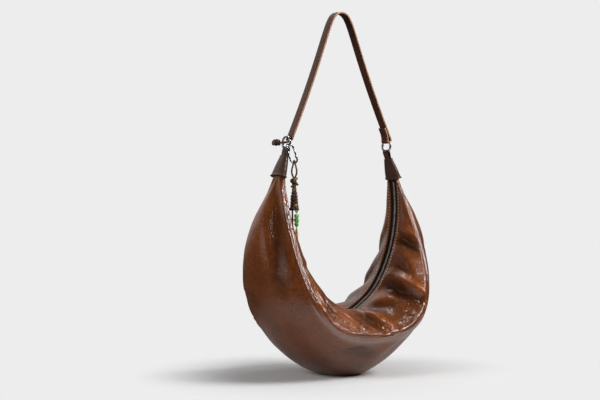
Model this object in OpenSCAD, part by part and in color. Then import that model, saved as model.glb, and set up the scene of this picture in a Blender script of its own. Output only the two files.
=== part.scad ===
// Half moon shoulder bag of glossy crinkled leather, standing on its underside.
// A broad outer panel runs round the bottom from horn to horn. Two crescent panels close
// it towards the zip. The horns are capped and hang on steel rings from the strap, and a
// charm hangs from a small carabiner at the left ring.
// X runs along the bag, the front faces -Y, and the underside rests at height zero.

/* [Leather body] */
// Height of the horn tips, inside their caps
horn_z = 250; // [230:1:290]
// Distance of each horn tip from the middle
horn_x = 90; // [84:1:100]
// Half of the depth of a horn tip, from its seam to the middle
horn_half_depth = 8.5; // [7:0.5:12]
// Half of the depth of the bag at the bottom, from its seam to the middle
belly_half_depth = 79; // [60:1:100]
// Thickness of the leather
leather_t = 1.3; // [1:0.1:1.5]
// Height of the front and back seams at the bottom
seam_low_z = 50; // [40:1:56]
// How far from the middle the seams stay level
seam_level_x = 60; // [50:1:80]
// Distance from the middle at which the seams are fullest
seam_belly_x = 119; // [105:0.5:130]
// Height at which the seams are fullest
seam_belly_z = 60; // [52:1:80]
// How far from the middle the underside stays level
under_level_x = 76; // [60:1:90]
// Distance from the middle at which the outer line is fullest
outer_belly_x = 186; // [150:1:200]
// Height at which the outer line is fullest
outer_belly_z = 138; // [110:1:155]
// Thickness of a horn tip from its seam to its outer face
horn_outer_t = 2; // [1.6:0.1:3]
// Thickness of a horn tip from its seam to the middle of the zip
horn_zip_t = 1.5; // [1.2:0.1:2.5]
// How far the weight of the bag presses its underside flat
rest_flat = 3; // [1:0.5:5]
// How far the front and back panels swell at the bottom
low_swell = 20; // [8:1:26]
// How far the front and back panels swell at the horn tips
tip_swell = 0.8; // [0.4:0.1:2]
// How far the back of the right side is drawn in
right_tuck = 24; // [0:1:28]

/* [Lining] */
// Thickness of the lining cloth
lining_t = 0.6; // [0.4:0.1:1]
// Room between the leather and the lining
lining_room = 1.7; // [1.4:0.1:2.5]

/* [Zip] */
// Height of the lowest point of the zip
zip_low_z = 71; // [66:1:80]
// Radius of the fold at the bottom of the zip
zip_fold_r = 34; // [26:1:45]
// Radius of the long curve of the zip up each horn, in shares of the horn height
zip_arc_share = 0.74; // [0.7:0.01:0.86]
// How far the zip sags to the front where the right side slumps
zip_sag = 13.5; // [0:0.5:14]
// Length of the zip over which the sag grows, from its lowest point
zip_sag_l = 66; // [60:1:80]
// Half of the gap between the edges of the front and back panels
zip_gap = 6.3; // [6:0.1:8]
// Thickness of the woven tapes
tape_t = 0.7; // [0.5:0.1:0.9]
// Pitch of the teeth on one tape
tooth_pitch = 2.5; // [2.4:0.1:3]
// Height of a tooth, square to the tape
tooth_h = 2.4; // [1.8:0.1:2.6]
// Reach of a tooth from the middle of the chain to its root
tooth_reach = 3; // [2.6:0.1:3.2]
// Distance of the slider from the left end of the zip, along the zip
slider_park = 36; // [32:1:60]
// Length of the slider
slider_l = 11; // [9:0.5:13]
// Length of the flat part of the pull
pull_l = 22; // [14:1:30]
// Width of the pull
pull_w = 5; // [4:0.5:7]

/* [Caps and tabs] */
// Thickness of the leather of the caps
cap_t = 1.2; // [0.8:0.1:1.5]
// Distance from a ring's lower wire down to the top of its cap
cap_drop = 9; // [7:0.5:12]
// Thickness of one layer of a tab
tab_t = 1.4; // [1:0.1:1.6]
// Width of a tab
tab_w = 7.5; // [6:0.5:7.5]

/* [Rings] */
// How far inside the horn tips the rings hang
ring_in = 11; // [6:0.5:14]
// Height of the middle of the rings above the horn tips
ring_rise = 33; // [30:0.5:50]
// Radius of a ring to the middle of its wire
ring_r = 7.5; // [7.5:0.5:9]
// Radius of the ring's wire
ring_wire_r = 1.4; // [1.2:0.1:1.6]

/* [Strap] */
// Width of the strap
strap_w = 12.5; // [10:0.5:15]
// Thickness of the strap
strap_t = 2.6; // [2.2:0.1:3.2]
// Height of the top of the strap above the middle of the rings
strap_rise = 163; // [120:1:240]
// Half width of the rounded top of the strap
strap_top_half_w = 20; // [14:1:26]
// How far the top of the strap leans to the right
strap_lean = 2.5; // [-6:0.5:6]
// Distance from its top towards which each side of the strap falls
strap_fall_x = 15; // [12:1:40]
// How far below its top each side of the strap aims as it falls
strap_fall_drop = 29; // [20:1:80]
// Length of the fold-over at the strap's right end
fold_l = 17; // [12:1:24]
// Width of the tongue at the strap's left end
tongue_w = 5; // [4:0.5:6]
// Thickness of the tongue
tongue_t = 2.2; // [1.6:0.1:2.4]
// Distance from the left ring along its tongue to the knot
stop_knot_out = 10.5; // [8:0.5:14]
// Length of the knot that stops the tongue
stop_knot_l = 9; // [7:0.5:11]
// Radius of the knot that stops the tongue
stop_knot_r = 4.2; // [3.5:0.1:5]

/* [Carabiner] */
// Length of the carabiner over its wire
carabiner_l = 26; // [22:0.5:30]
// Width of the carabiner over its wire
carabiner_w = 12; // [11.5:0.5:13]
// Radius of the carabiner's wire
carabiner_wire_r = 1.15; // [0.9:0.05:1.2]
// Length of the gate
gate_l = 10; // [7:0.5:11]
// Radius of the gate's pin
gate_pin_r = 0.4; // [0.3:0.05:0.5]

/* [Charm] */
// Radius of the charm's twisted cord
cord_r = 1.1; // [0.8:0.1:1.2]
// Length of the cord loop above the knot, in shares of the horn height
loop_length_share = 0.08; // [0.06:0.002:0.1]
// Height of the knot, in shares of the horn height
knot_height_share = 0.056; // [0.04:0.002:0.064]
// Radius of the knot
knot_r = 4.7; // [4:0.1:5.5]
// Height of the braided stack, in shares of the horn height
braid_height_share = 0.104; // [0.072:0.002:0.12]
// Radius of the braided stack at its top
braid_top_r = 3.4; // [3:0.1:4]
// Radius of the braided stack at its foot
braid_foot_r = 5.8; // [5:0.1:6.5]
// Number of turns in the braided stack
braid_turns = 7; // [5:1:9]
// Length of the black cord below the braid, in shares of the horn height
cord_length_share = 0.096; // [0.072:0.002:0.12]
// Length of the green leaf, in shares of the horn height
leaf_length_share = 0.068; // [0.052:0.002:0.084]
// Width of the green leaf
leaf_w = 7.6; // [5:0.1:8]
// Length of the cream tail, in shares of the horn height
tail_length_share = 0.064; // [0.048:0.002:0.08]

/* [Hidden] */

// Running clearance between pieces that touch on the real bag
fit_gap = 0.3;
// Gap between layers that are sewn together
sewn_gap = 0.15;
// How far a cut runs past the piece that it cuts
overrun = 1;
// Room between a horn's tip and its cap, and between a tab and the cap's top
cap_room = 0.6;
// Room between the carabiner's wire and the tab beside it
carabiner_room = 0.6;
// Smoothness of the round pieces
round_fn = 32;

// Sizes that follow the height of the horns
zip_arc_r = horn_z * zip_arc_share;
loop_l = horn_z * loop_length_share;
knot_h = horn_z * knot_height_share;
braid_h = horn_z * braid_height_share;
black_cord_l = horn_z * cord_length_share;
leaf_l = horn_z * leaf_length_share;
tail_l = horn_z * tail_length_share;
// Where the rings and the top of the strap come to
ring_x = horn_x - ring_in;
ring_z = horn_z + ring_rise;
strap_top_z = ring_z + strap_rise;
strap_fall_z = strap_top_z - strap_fall_drop;

// Stations from the middle of the bag to a horn tip, and how they crowd towards it
half_stations = 20;
station_share = 1.3;
// Divisions across the outer panel, and across a front or back panel
outer_div = 16;
panel_div = 6;
// How squarely the outer panel bends, at the bottom and at the tips
low_square_share = 2.6;
tip_square_share = 2.15;
// How the depth falls from the bottom to the tips
depth_power_share = 4.4;
depth_round_share = 1.38;
// How suddenly the outer panel is gathered in at the tips
gather_power_share = 14;
// Where the drawn-in back on the right is deepest
tuck_power_share = 1.3;
// How the swelling fades towards the tips
swell_power_share = 1.4;
// How the zip's length is matched to the seams
zip_match_share = 1.7;
// Longest mitre at a seam, in thicknesses
mitre_limit_share = 2.2;
// Where the lining ends and where a cap's foot lies, along the seam curve
lining_end_share = 0.9;
cap_foot_share = 0.982;

// Vectors in the upright plane are written as x and z
function turned(v) = [-v[1], v[0]];
function unit(v) = v / norm(v);
function bezier(p, t) = (1 - t) ^ 3 * p[0] + 3 * (1 - t) ^ 2 * t * p[1]
    + 3 * (1 - t) * t ^ 2 * p[2] + t ^ 3 * p[3];
function blend(a, b, t) = a + (b - a) * t;

// Lines of the right half, each from the bottom (0) to the horn tip (1)
seam_line = [[0, seam_low_z], [seam_level_x, seam_low_z],
             [seam_belly_x, seam_belly_z], [horn_x, horn_z]];
outer_line = [[0, -rest_flat], [under_level_x, -rest_flat],
              [outer_belly_x, outer_belly_z], [horn_x + horn_outer_t, horn_z]];

// The zip: a fold at the bottom, and an arc that touches it and ends at the horn tip
zip_tip = [horn_x - horn_zip_t, horn_z];
fold_centre = [0, zip_low_z + zip_fold_r];
tip_way = zip_tip - fold_centre;
tip_far = norm(tip_way);
arc_near = ((zip_arc_r - zip_fold_r) ^ 2 - zip_arc_r ^ 2 + tip_far ^ 2) / (2 * tip_far);
arc_aside = sqrt((zip_arc_r - zip_fold_r) ^ 2 - arc_near ^ 2);
arc_centre = fold_centre + unit(tip_way) * arc_near + turned(unit(tip_way)) * arc_aside;
fold_way = fold_centre - arc_centre;
fold_turn = 90 + atan2(fold_way[1], fold_way[0]);
tip_turn = 90 + atan2(zip_tip[1] - arc_centre[1], zip_tip[0] - arc_centre[0]);
fold_len = zip_fold_r * fold_turn * PI / 180;
zip_len = fold_len + zip_arc_r * (tip_turn - fold_turn) * PI / 180;
// Height of the panels' outer face over the middle of the zip
zip_lip = leather_t + sewn_gap + tape_t / 4;

// Direction of the zip, in degrees, at a distance from its lowest point
function zip_turn(s) = s < fold_len ? s / zip_fold_r * 180 / PI
    : fold_turn + (s - fold_len) / zip_arc_r * 180 / PI;
function zip_at(s) = let (a = zip_turn(s), out = [sin(a), -cos(a)])
    s < fold_len ? fold_centre + zip_fold_r * out : arc_centre + zip_arc_r * out;
function zip_in(s) = let (a = zip_turn(s)) [-sin(a), cos(a)];

// How far the zip lies off the middle, at a signed distance from its lowest point (the
// right side is positive), and how fast that changes
function zip_aside(s) = s <= 0 ? 0
    : -zip_sag * sin(90 * min(1, s / zip_sag_l)) ^ 2 * (1 - (s / zip_len) ^ 2);
function zip_slope(s) = (zip_aside(s + tape_t) - zip_aside(s - tape_t)) / (2 * tape_t);

// Share of the way from the bottom to the tip at each station, and its side
function reach(i) = 1 - (1 - abs(i) / half_stations) ^ station_share;
function side(i) = i < 0 ? -1 : 1;
function half_depth(a) = blend(horn_half_depth, belly_half_depth,
    max(0, 1 - a ^ depth_power_share) ^ depth_round_share);
function back_depth(i) = let (a = reach(i))
    half_depth(a) - (i > 0 ? right_tuck * sin(180 * a ^ tuck_power_share) : 0);
function edge_y(i, back) = back ? back_depth(i) : -half_depth(reach(i));
function seam_point(i, back) = let (p = bezier(seam_line, reach(i)))
    [side(i) * p[0], edge_y(i, back), p[1]];

// Middle of the outer panel, gathered towards the seams at the tips
function outer_at(a) = blend(bezier(outer_line, a),
    bezier(seam_line, a) + [horn_outer_t, 0], a ^ gather_power_share);

// Outer face of the outer panel: one row of points from the front seam to the back seam
function outer_row(i) = let (a = reach(i), s = bezier(seam_line, a), o = outer_at(a),
        q = blend(low_square_share, tip_square_share, a))
    [for (j = [0:outer_div]) let (v = sin(90 * (2 * j / outer_div - 1)),
            p = s + (o - s) * (1 - abs(v) ^ q))
        [side(i) * p[0], abs(v) * edge_y(i, v > 0), max(0, p[1])]];

// Outer face of the front or back panel: one row of points from its seam to the zip
function panel_row(i, back) = let (a = reach(i), s = a ^ zip_match_share * zip_len,
        z = zip_at(s) + zip_in(s) * zip_lip,
        e = [side(i) * z[0], zip_aside(side(i) * s) + (back ? zip_gap : -zip_gap), z[1]],
        p = seam_point(i, back), chord = e - p,
        run = seam_point(min(i + 1, half_stations), back)
            - seam_point(max(i - 1, -half_stations), back),
        out = unit(back ? cross(chord, run) : cross(run, chord)),
        swell = blend(low_swell, tip_swell, a ^ swell_power_share))
    [for (j = [0:panel_div]) let (t = j / panel_div)
        p + chord * t + out * swell * 4 * t * (1 - t)];

stations = [for (i = [-half_stations:half_stations]) i];
outer_face = [for (i = stations) outer_row(i)];
front_face = [for (i = stations) panel_row(i, false)];
back_face = [for (i = stations) panel_row(i, true)];

// Outward direction of a face at one of its points
function clamp(n, m) = max(0, min(n, m));
function facing(g, i, j, flip) = let (m = len(g) - 1, k = len(g[0]) - 1,
        di = g[clamp(i + 1, m)][j] - g[clamp(i - 1, m)][j],
        dj = g[i][clamp(j + 1, k)] - g[i][clamp(j - 1, k)])
    unit(flip ? cross(dj, di) : cross(di, dj));

// Way into the leather at a seam, so that two panels meet in a mitre
function mitre(a, b) = let (m = -(a + b) / (1 + a * b), n = norm(m))
    m * min(1, mitre_limit_share / n);
function seam_way(i, back) = mitre(
    facing(back ? back_face : front_face, i, 0, back),
    facing(outer_face, i, back ? outer_div : 0, true));

// Way into the leather at any point of each face
function outer_way(i, j) = j == 0 ? seam_way(i, false)
    : j == outer_div ? seam_way(i, true) : -facing(outer_face, i, j, true);
function panel_way(i, j, back) = j == 0 ? seam_way(i, back)
    : -facing(back ? back_face : front_face, i, j, back);

// The faces, sunk into the leather by a depth
function sunk_outer(h) = [for (i = [0:2 * half_stations]) [for (j = [0:outer_div])
    outer_face[i][j] + outer_way(i, j) * h]];
function sunk_panel(h, back) = let (g = back ? back_face : front_face)
    [for (i = [0:2 * half_stations]) [for (j = [0:panel_div])
        g[i][j] + panel_way(i, j, back) * h]];

// A closed sheet between an outer and an inner grid of points
module sheet(outside, inside, flip) {
    m = len(outside);
    k = len(outside[0]);
    points = concat([for (row = outside) each row], [for (row = inside) each row]);
    function at(i, j) = i * k + j;
    function under(i, j) = m * k + at(i, j);
    function quad(a, b, c, d) = [[a, b, c], [a, c, d]];
    tops = [for (i = [0:m - 2]) for (j = [0:k - 2])
        each quad(at(i, j), at(i, j + 1), at(i + 1, j + 1), at(i + 1, j))];
    bottoms = [for (i = [0:m - 2]) for (j = [0:k - 2])
        each quad(under(i, j), under(i + 1, j), under(i + 1, j + 1), under(i, j + 1))];
    sides = [for (i = [0:m - 2]) each concat(
        quad(at(i, 0), at(i + 1, 0), under(i + 1, 0), under(i, 0)),
        quad(at(i, k - 1), under(i, k - 1), under(i + 1, k - 1), at(i + 1, k - 1)))];
    ends = [for (j = [0:k - 2]) each concat(
        quad(at(0, j), under(0, j), under(0, j + 1), at(0, j + 1)),
        quad(at(m - 1, j), at(m - 1, j + 1), under(m - 1, j + 1), under(m - 1, j)))];
    faces = concat(tops, bottoms, sides, ends);
    polyhedron(points, flip ? [for (f = faces) [f[0], f[2], f[1]]] : faces);
}

module outer_panel() {
    color("#6b4130") sheet(outer_face, sunk_outer(leather_t), true);
}

module front_panel() {
    color("#7a4526") sheet(front_face, sunk_panel(leather_t, false), false);
}

module back_panel() {
    color("#6f4a3c") sheet(back_face, sunk_panel(leather_t, true), true);
}

// The lining hangs inside the leather from the edges of the zip tapes
lining_ends = [for (i = [0:2 * half_stations]) if (reach(stations[i]) < lining_end_share) i];
lining_steps = [outer_div / 4, outer_div / 2, 3 * outer_div / 4];
panel_mid = panel_div / 2;
function lining_row(i, h) = let (f = sunk_panel_row(i, h, false), b = sunk_panel_row(i, h, true))
    concat([f[panel_div - 1], f[panel_mid], f[0]],
        [for (j = lining_steps) outer_face[i][j] + outer_way(i, j) * h],
        [b[0], b[panel_mid], b[panel_div - 1]]);
function sunk_panel_row(i, h, back) = let (g = back ? back_face : front_face)
    [for (j = [0:panel_div]) g[i][j] + panel_way(i, j, back) * h];

module lining() {
    depth = leather_t + lining_room;
    color("#3a2a22") sheet([for (i = lining_ends) lining_row(i, depth)],
        [for (i = lining_ends) lining_row(i, depth + lining_t)], true);
}

// Each tape runs from under its panel's edge to the roots of the teeth, which lie farther
// apart across the bag where the zip runs askew
tape_edge = tooth_reach + fit_gap;
function tape_row(i, back, h) = let (r = sunk_panel_row(i, leather_t + sewn_gap + h, back),
        s = reach(stations[i]) ^ zip_match_share * zip_len,
        c = zip_at(s) + zip_in(s) * (tape_t / 2 - h),
        askew = side(stations[i]) * s,
        off = tape_edge * norm([1, zip_slope(askew)]))
    [r[panel_div - 1], r[panel_div],
     [side(stations[i]) * c[0], zip_aside(askew) + (back ? off : -off), c[1]]];

module zip_tape(back) {
    color("#2e2622") sheet([for (i = [0:2 * half_stations]) tape_row(i, back, 0)],
        [for (i = [0:2 * half_stations]) tape_row(i, back, tape_t)], back);
}

// Puts a piece on the zip at a signed distance from its lowest point: its X runs along
// the zip towards the right horn and its Z points out of the bag
module on_zip(s) {
    p = zip_at(abs(s));
    a = zip_turn(abs(s));
    translate([side(s) * p[0], zip_aside(s), p[1]]) rotate([0, -side(s) * a, 0])
        rotate([0, 0, atan(zip_slope(s))]) children();
}

slider_s = slider_park - zip_len;
tooth_fill_share = 0.9;
tooth_mesh_share = 0.3;
tooth_t = tooth_pitch / 2 * tooth_fill_share;
tooth_past = tooth_reach * tooth_mesh_share;
chain_end = zip_len - slider_l;
tooth_count = floor((chain_end - slider_s) / tooth_pitch);

module zip_teeth(back) {
    width = tooth_reach + tooth_past;
    color("#9a9896") for (k = [0:tooth_count - 1])
        on_zip(slider_s + (k + (back ? 1 : 0.5)) * tooth_pitch)
            translate([0, (back ? 1 : -1) * (tooth_reach - width / 2), 0])
                cube([tooth_t, width, tooth_h], center = true);
}

// Two stops over the slider, and one square stop at the far end of the chain
stop_l = tooth_pitch;
stop_h = tooth_h + tape_t;

module zip_stops() {
    color("#8b8987") {
        for (y = [-1, 1]) on_zip(slider_s - slider_l / 2 - stop_l)
            translate([0, y * (tooth_reach + fit_gap) / 2, 0])
                cube([stop_l, tooth_reach - fit_gap, stop_h], center = true);
        on_zip(chain_end + stop_l)
            cube([stop_l, 2 * tooth_reach, stop_h], center = true);
    }
}

// The slider: two shield-shaped plates, side walls that hold the tapes, a post between
// the plates at the wide end, and an arched bridge for the pull
plate_share = 0.4;
bridge_share = 0.3;
bridge_wire_share = 0.8;
bridge_width_share = 0.45;
pull_pin_share = 0.7;
wall_back_share = 0.35;
wall_long_share = 0.55;
post_back_share = 0.45;
post_long_share = 0.2;
plate_t = tooth_h * plate_share;
plate_z = tooth_h / 2 + fit_gap;
wall_y = tooth_reach + fit_gap;
wall_t = plate_t;
slider_half_w = wall_y + wall_t;
tape_slot = tape_t / 2 + fit_gap;
bridge_r = slider_l * bridge_share;
bridge_t = plate_t * bridge_wire_share;
bridge_w = slider_half_w * bridge_width_share;
bridge_z = plate_z + plate_t;
pull_pin_r = bridge_t * pull_pin_share;
pull_pin_z = bridge_z + (bridge_r - bridge_t) / 2;

// One side of a plate, from its narrow tail to its broad nose, in shares of its half size
plate_side_shares = [[-1, 0.45], [-0.75, 1], [0.45, 1], [1, 0.8]];
module slider_plate() {
    upper = [for (q = plate_side_shares) [q[0] * slider_l / 2, q[1] * slider_half_w]];
    lower = [for (q = upper) [q[0], -q[1]]];
    linear_extrude(plate_t) polygon(concat(upper, backwards(lower)));
}

module slider_half() {
    translate([0, 0, plate_z]) slider_plate();
    for (y = [-1, 1])
        translate([-slider_l * wall_back_share, y * (wall_y + wall_t / 2) - wall_t / 2, tape_slot])
            cube([slider_l * wall_long_share, wall_t, plate_z - tape_slot + plate_t / 2]);
}

module zip_slider() {
    color("#b9b6b2") on_zip(slider_s) {
        slider_half();
        mirror([0, 0, 1]) slider_half();
        translate([-slider_l * post_back_share, -tooth_past, -plate_z - plate_t / 2])
            cube([slider_l * post_long_share, 2 * tooth_past, 2 * plate_z + plate_t]);
        translate([0, bridge_w / 2, bridge_z]) rotate([90, 0, 0]) linear_extrude(bridge_w)
            intersection() {
                difference() {
                    circle(r = bridge_r, $fn = round_fn);
                    circle(r = bridge_r - bridge_t, $fn = round_fn);
                }
                translate([-bridge_r, -plate_t / 2])
                    square([2 * bridge_r, bridge_r + plate_t]);
            }
    }
}

// The pull turns on its own cross pin under the bridge and lies down the chain, lifted
// a little because the chain curves up towards its end
pull_lift = 2.5;
module zip_pull() {
    arm_y = bridge_w / 2 + fit_gap;
    arm_w = (pull_w - 2 * arm_y) / 2 + pull_pin_r;
    reach_l = bridge_r + fit_gap + pull_pin_r;
    color("#b9b6b2") on_zip(slider_s) translate([0, 0, pull_pin_z]) rotate([0, -pull_lift, 0]) {
        rotate([90, 0, 0]) cylinder(r = pull_pin_r, h = 2 * (arm_y + arm_w / 2),
            center = true, $fn = round_fn);
        for (y = [-1, 1]) translate([-pull_pin_r, y * (arm_y + arm_w / 2) - arm_w / 2, -pull_pin_r])
            cube([reach_l + 2 * pull_pin_r, arm_w, 2 * pull_pin_r]);
        translate([reach_l, 0, -pull_pin_r]) linear_extrude(2 * pull_pin_r) {
            translate([0, -arm_y - arm_w]) square([pull_l, 2 * (arm_y + arm_w)]);
            translate([pull_l, 0]) circle(r = arm_y + arm_w, $fn = round_fn);
        }
    }
}

// Cap, tab and ring line: from the middle of the horn at the cap's foot up to the
// ring's lower wire
foot_outer = outer_at(cap_foot_share);
foot_zip_s = cap_foot_share ^ zip_match_share * zip_len;
foot_zip = zip_at(foot_zip_s) + zip_in(foot_zip_s) * zip_lip;
cap_foot = (foot_outer + foot_zip) / 2;
lower_wire = [ring_x, ring_z - ring_r];
cap_way = lower_wire - cap_foot;
cap_lean = atan2(-cap_way[0], cap_way[1]);
cap_l = norm(cap_way) - cap_drop;
cap_foot_w = 2 * (half_depth(cap_foot_share) + fit_gap + cap_t);
cap_foot_t = norm(foot_outer - foot_zip) + 2 * (cap_room + cap_t);
cap_top_w = tab_w + 2 * (cap_room + fit_gap + cap_t);
cap_top_t = 2 * (tab_t + cap_room + cap_t);
cap_round_share = 0.3;

// A tapered block with rounded corners, standing on the cap's foot
module cap_block(foot_t, foot_w, top_t, top_w, h) {
    round_r = foot_t * cap_round_share;
    linear_extrude(h, scale = [top_t / foot_t, top_w / foot_w], slices = 1)
        offset(r = round_r, $fn = round_fn)
            square([foot_t - 2 * round_r, foot_w - 2 * round_r], center = true);
}

module cap() {
    color("#4a332b") translate([cap_foot[0], 0, cap_foot[1]]) rotate([0, -cap_lean, 0])
        difference() {
            cap_block(cap_foot_t, cap_foot_w, cap_top_t, cap_top_w, cap_l);
            translate([0, 0, -overrun / 2])
                cap_block(cap_foot_t - 2 * cap_t, cap_foot_w - 2 * cap_t,
                          cap_top_t - 2 * cap_t, cap_top_w - 2 * cap_t, cap_l + overrun);
        }
}

// A ring's solid in its own place, with its wire grown by a clearance
module ring_torus(grow) {
    rotate([0, 90, 0]) rotate_extrude($fn = 2 * round_fn)
        translate([ring_r, 0]) circle(r = ring_wire_r + grow, $fn = round_fn);
}

// The tab folds round the ring's lower wire, and its two ends lie in the cap
tab_r = ring_wire_r + fit_gap + tab_t;
tab_in_cap = cap_l / 3;
tab_taper_share = 1.6;
module tab() {
    tab_l = cap_drop + tab_in_cap;
    color("#53382d") difference() {
        translate([lower_wire[0], 0, lower_wire[1]]) rotate([0, -cap_lean, 0]) {
            rotate([90, 0, 0]) cylinder(r = tab_r, h = tab_w, center = true, $fn = round_fn);
            translate([0, tab_w / 2, 0]) rotate([90, 0, 0]) linear_extrude(tab_w)
                polygon([[-tab_r, 0], [-tab_t, -tab_taper_share * tab_r], [-tab_t, -tab_l],
                         [tab_t, -tab_l], [tab_t, -tab_taper_share * tab_r], [tab_r, 0]]);
        }
        translate([ring_x, 0, ring_z]) ring_torus(fit_gap);
    }
}

module ring() {
    color("#c9c7c4") translate([ring_x, 0, ring_z]) ring_torus(0);
}

// The strap's middle line, from the top to each end. The right end touches a circle
// round the ring's upper wire
upper_wire = [ring_x, ring_z + ring_r];
fold_r = ring_wire_r + fit_gap + strap_t;
strap_top = strap_top_z - strap_t / 2;
strap_fall = [strap_lean + strap_fall_x, strap_fall_z];
fall_way = upper_wire - strap_fall;
fall_lean = asin((fold_r - strap_t / 2) / norm(fall_way));
fold_dir = unit(fall_way) * cos(fall_lean) + turned(unit(fall_way)) * sin(fall_lean);
right_end = upper_wire + turned(fold_dir) * (fold_r - strap_t / 2);
left_up_share = 0.45;
left_end = [ring_x - fold_r, ring_z + ring_r * left_up_share];
strap_steps = 24;
function strap_line(end, lean) = [[lean, strap_top], [lean + strap_top_half_w, strap_top],
                                  [lean + strap_fall_x, strap_fall_z], end];
function strap_at(end, lean, t) = bezier(strap_line(end, lean), t);
function strap_dir(end, lean, t) = let (p = strap_line(end, lean))
    unit((1 - t) ^ 2 * (p[1] - p[0]) + 2 * (1 - t) * t * (p[2] - p[1]) + t ^ 2 * (p[3] - p[2]));
function strap_side(end, lean, off) = [for (i = [0:strap_steps]) let (t = i / strap_steps)
    strap_at(end, lean, t) + turned(strap_dir(end, lean, t)) * off];
function flipped(p) = [for (q = p) [-q[0], q[1]]];
function backwards(p) = [for (i = [len(p) - 1:-1:0]) p[i]];

// A band: an outline in the upright plane, as wide as given along Y
module band(w) {
    translate([0, w / 2, 0]) rotate([90, 0, 0]) linear_extrude(w) children();
}

// The right end goes round under the upper wire and back up against itself
fold_steps = 12;
fold_arc = [for (i = [1:fold_steps - 1]) let (a = 180 * i / fold_steps)
    upper_wire + fold_r * (turned(fold_dir) * cos(a) + fold_dir * sin(a))];
function beside_fold(up, off) = right_end - fold_dir * up - turned(fold_dir) * off;
leaf_meets_share = 0.6;
leaf_near_share = 1.6;
leaf_far_share = 1.5;
fold_leaf = [beside_fold(0, 2 * fold_r - strap_t / 2),
             beside_fold(fold_l * leaf_meets_share, strap_t * leaf_near_share),
             beside_fold(fold_l, strap_t * leaf_far_share)];

module strap() {
    half = strap_t / 2;
    left_out = flipped(strap_side(left_end, -strap_lean, half));
    left_in = flipped(strap_side(left_end, -strap_lean, -half));
    right_out = strap_side(right_end, strap_lean, half);
    right_in = [for (q = strap_side(right_end, strap_lean, -half))
        if ((right_end - q) * fold_dir > fold_l) q];
    color("#4a3028") difference() {
        band(strap_w) polygon(concat(backwards(left_out), right_out, fold_arc, fold_leaf,
            [beside_fold(fold_l, half)], backwards(right_in), left_in));
        translate([ring_x, 0, ring_z]) ring_torus(fit_gap);
    }
}

// The tongue leaves the strap's left end, passes through the ring and ends in the knot
knot_x = ring_x + stop_knot_out;
left_dir = strap_dir(left_end, -strap_lean, 1);
tongue_start = left_end + left_dir * sewn_gap;
tongue_line = [tongue_start, tongue_start + left_dir * tongue_t, [ring_x, ring_z], [knot_x, ring_z]];
function tongue_side(off) = [for (i = [0:strap_steps / 2]) let (t = i / strap_steps * 2,
        d = unit(bezier(tongue_line, min(1, t + 1 / strap_steps))
            - bezier(tongue_line, max(0, t - 1 / strap_steps))))
    bezier(tongue_line, t) + turned(d) * off];

module strap_tongue() {
    half = tongue_t / 2;
    color("#553a2e") mirror([1, 0, 0]) band(tongue_w)
        polygon(concat(tongue_side(half), backwards(tongue_side(-half))));
}

// A rolled leather knot, as three turns round the tongue's end
module strap_knot() {
    turn_l = stop_knot_l / 3;
    color("#3e2c22") translate([-knot_x - sewn_gap, 0, ring_z]) rotate([0, -90, 0])
        rotate_extrude($fn = round_fn) {
            square([stop_knot_r - turn_l / 4, stop_knot_l]);
            for (k = [0:2]) translate([stop_knot_r - turn_l / 2, (k + 0.5) * turn_l])
                circle(r = turn_l / 2, $fn = round_fn / 2);
        }
}

// The carabiner leans on the front edge of the left tab. Its own frame has its length
// down -Z from the top of its wire and its width along X
bend_r = carabiner_w / 2 - carabiner_wire_r;
straight_l = carabiner_l - carabiner_w;
hang_r = ring_r - ring_wire_r - fit_gap - carabiner_wire_r;
hang_y = tab_w / 2 + carabiner_room;
hang = [-ring_x, -hang_y, ring_z - sqrt(hang_r ^ 2 - hang_y ^ 2)];
carabiner_lean_in = 15;
carabiner_lean_front = 12;

module at_carabiner() {
    translate(hang) rotate([-carabiner_lean_front, -carabiner_lean_in, 0]) children();
}

module carabiner_bend() {
    rotate([90, 0, 0]) rotate_extrude(angle = 180, $fn = round_fn)
        translate([bend_r, 0]) circle(r = carabiner_wire_r, $fn = round_fn / 2);
}

gate_top_z = -bend_r - (straight_l - gate_l) / 2;
gate_foot_z = gate_top_z - gate_l;
lug_share = 0.6;
barrel_share = 1.15;
gate_share = 0.85;
slot_share = 3;
lug_t = carabiner_wire_r * lug_share;
barrel_r = carabiner_wire_r * barrel_share;
gate_r = carabiner_wire_r * gate_share;

module wire_down(x, z, l, r) {
    translate([x, 0, z - l]) cylinder(r = r, h = l, $fn = round_fn / 2);
}

module carabiner_body() {
    color("#c4c2bf") at_carabiner() difference() {
        union() {
            translate([0, 0, -bend_r]) carabiner_bend();
            translate([0, 0, -bend_r - straight_l]) mirror([0, 0, 1]) carabiner_bend();
            wire_down(-bend_r, -bend_r, straight_l, carabiner_wire_r);
            wire_down(bend_r, -bend_r, (straight_l - gate_l) / 2, carabiner_wire_r);
            wire_down(bend_r, gate_foot_z, (straight_l - gate_l) / 2, carabiner_wire_r);
            translate([bend_r, 0, gate_foot_z]) rotate([90, 0, 0])
                cylinder(r = barrel_r, h = 2 * barrel_r, center = true, $fn = round_fn);
        }
        translate([bend_r, 0, gate_foot_z + barrel_r / 2]) cube([2 * (barrel_r + fit_gap),
            lug_t + fit_gap, slot_share * barrel_r], center = true);
        translate([bend_r, 0, gate_foot_z]) rotate([90, 0, 0])
            cylinder(r = gate_pin_r, h = carabiner_w, center = true, $fn = round_fn);
    }
}

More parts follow.
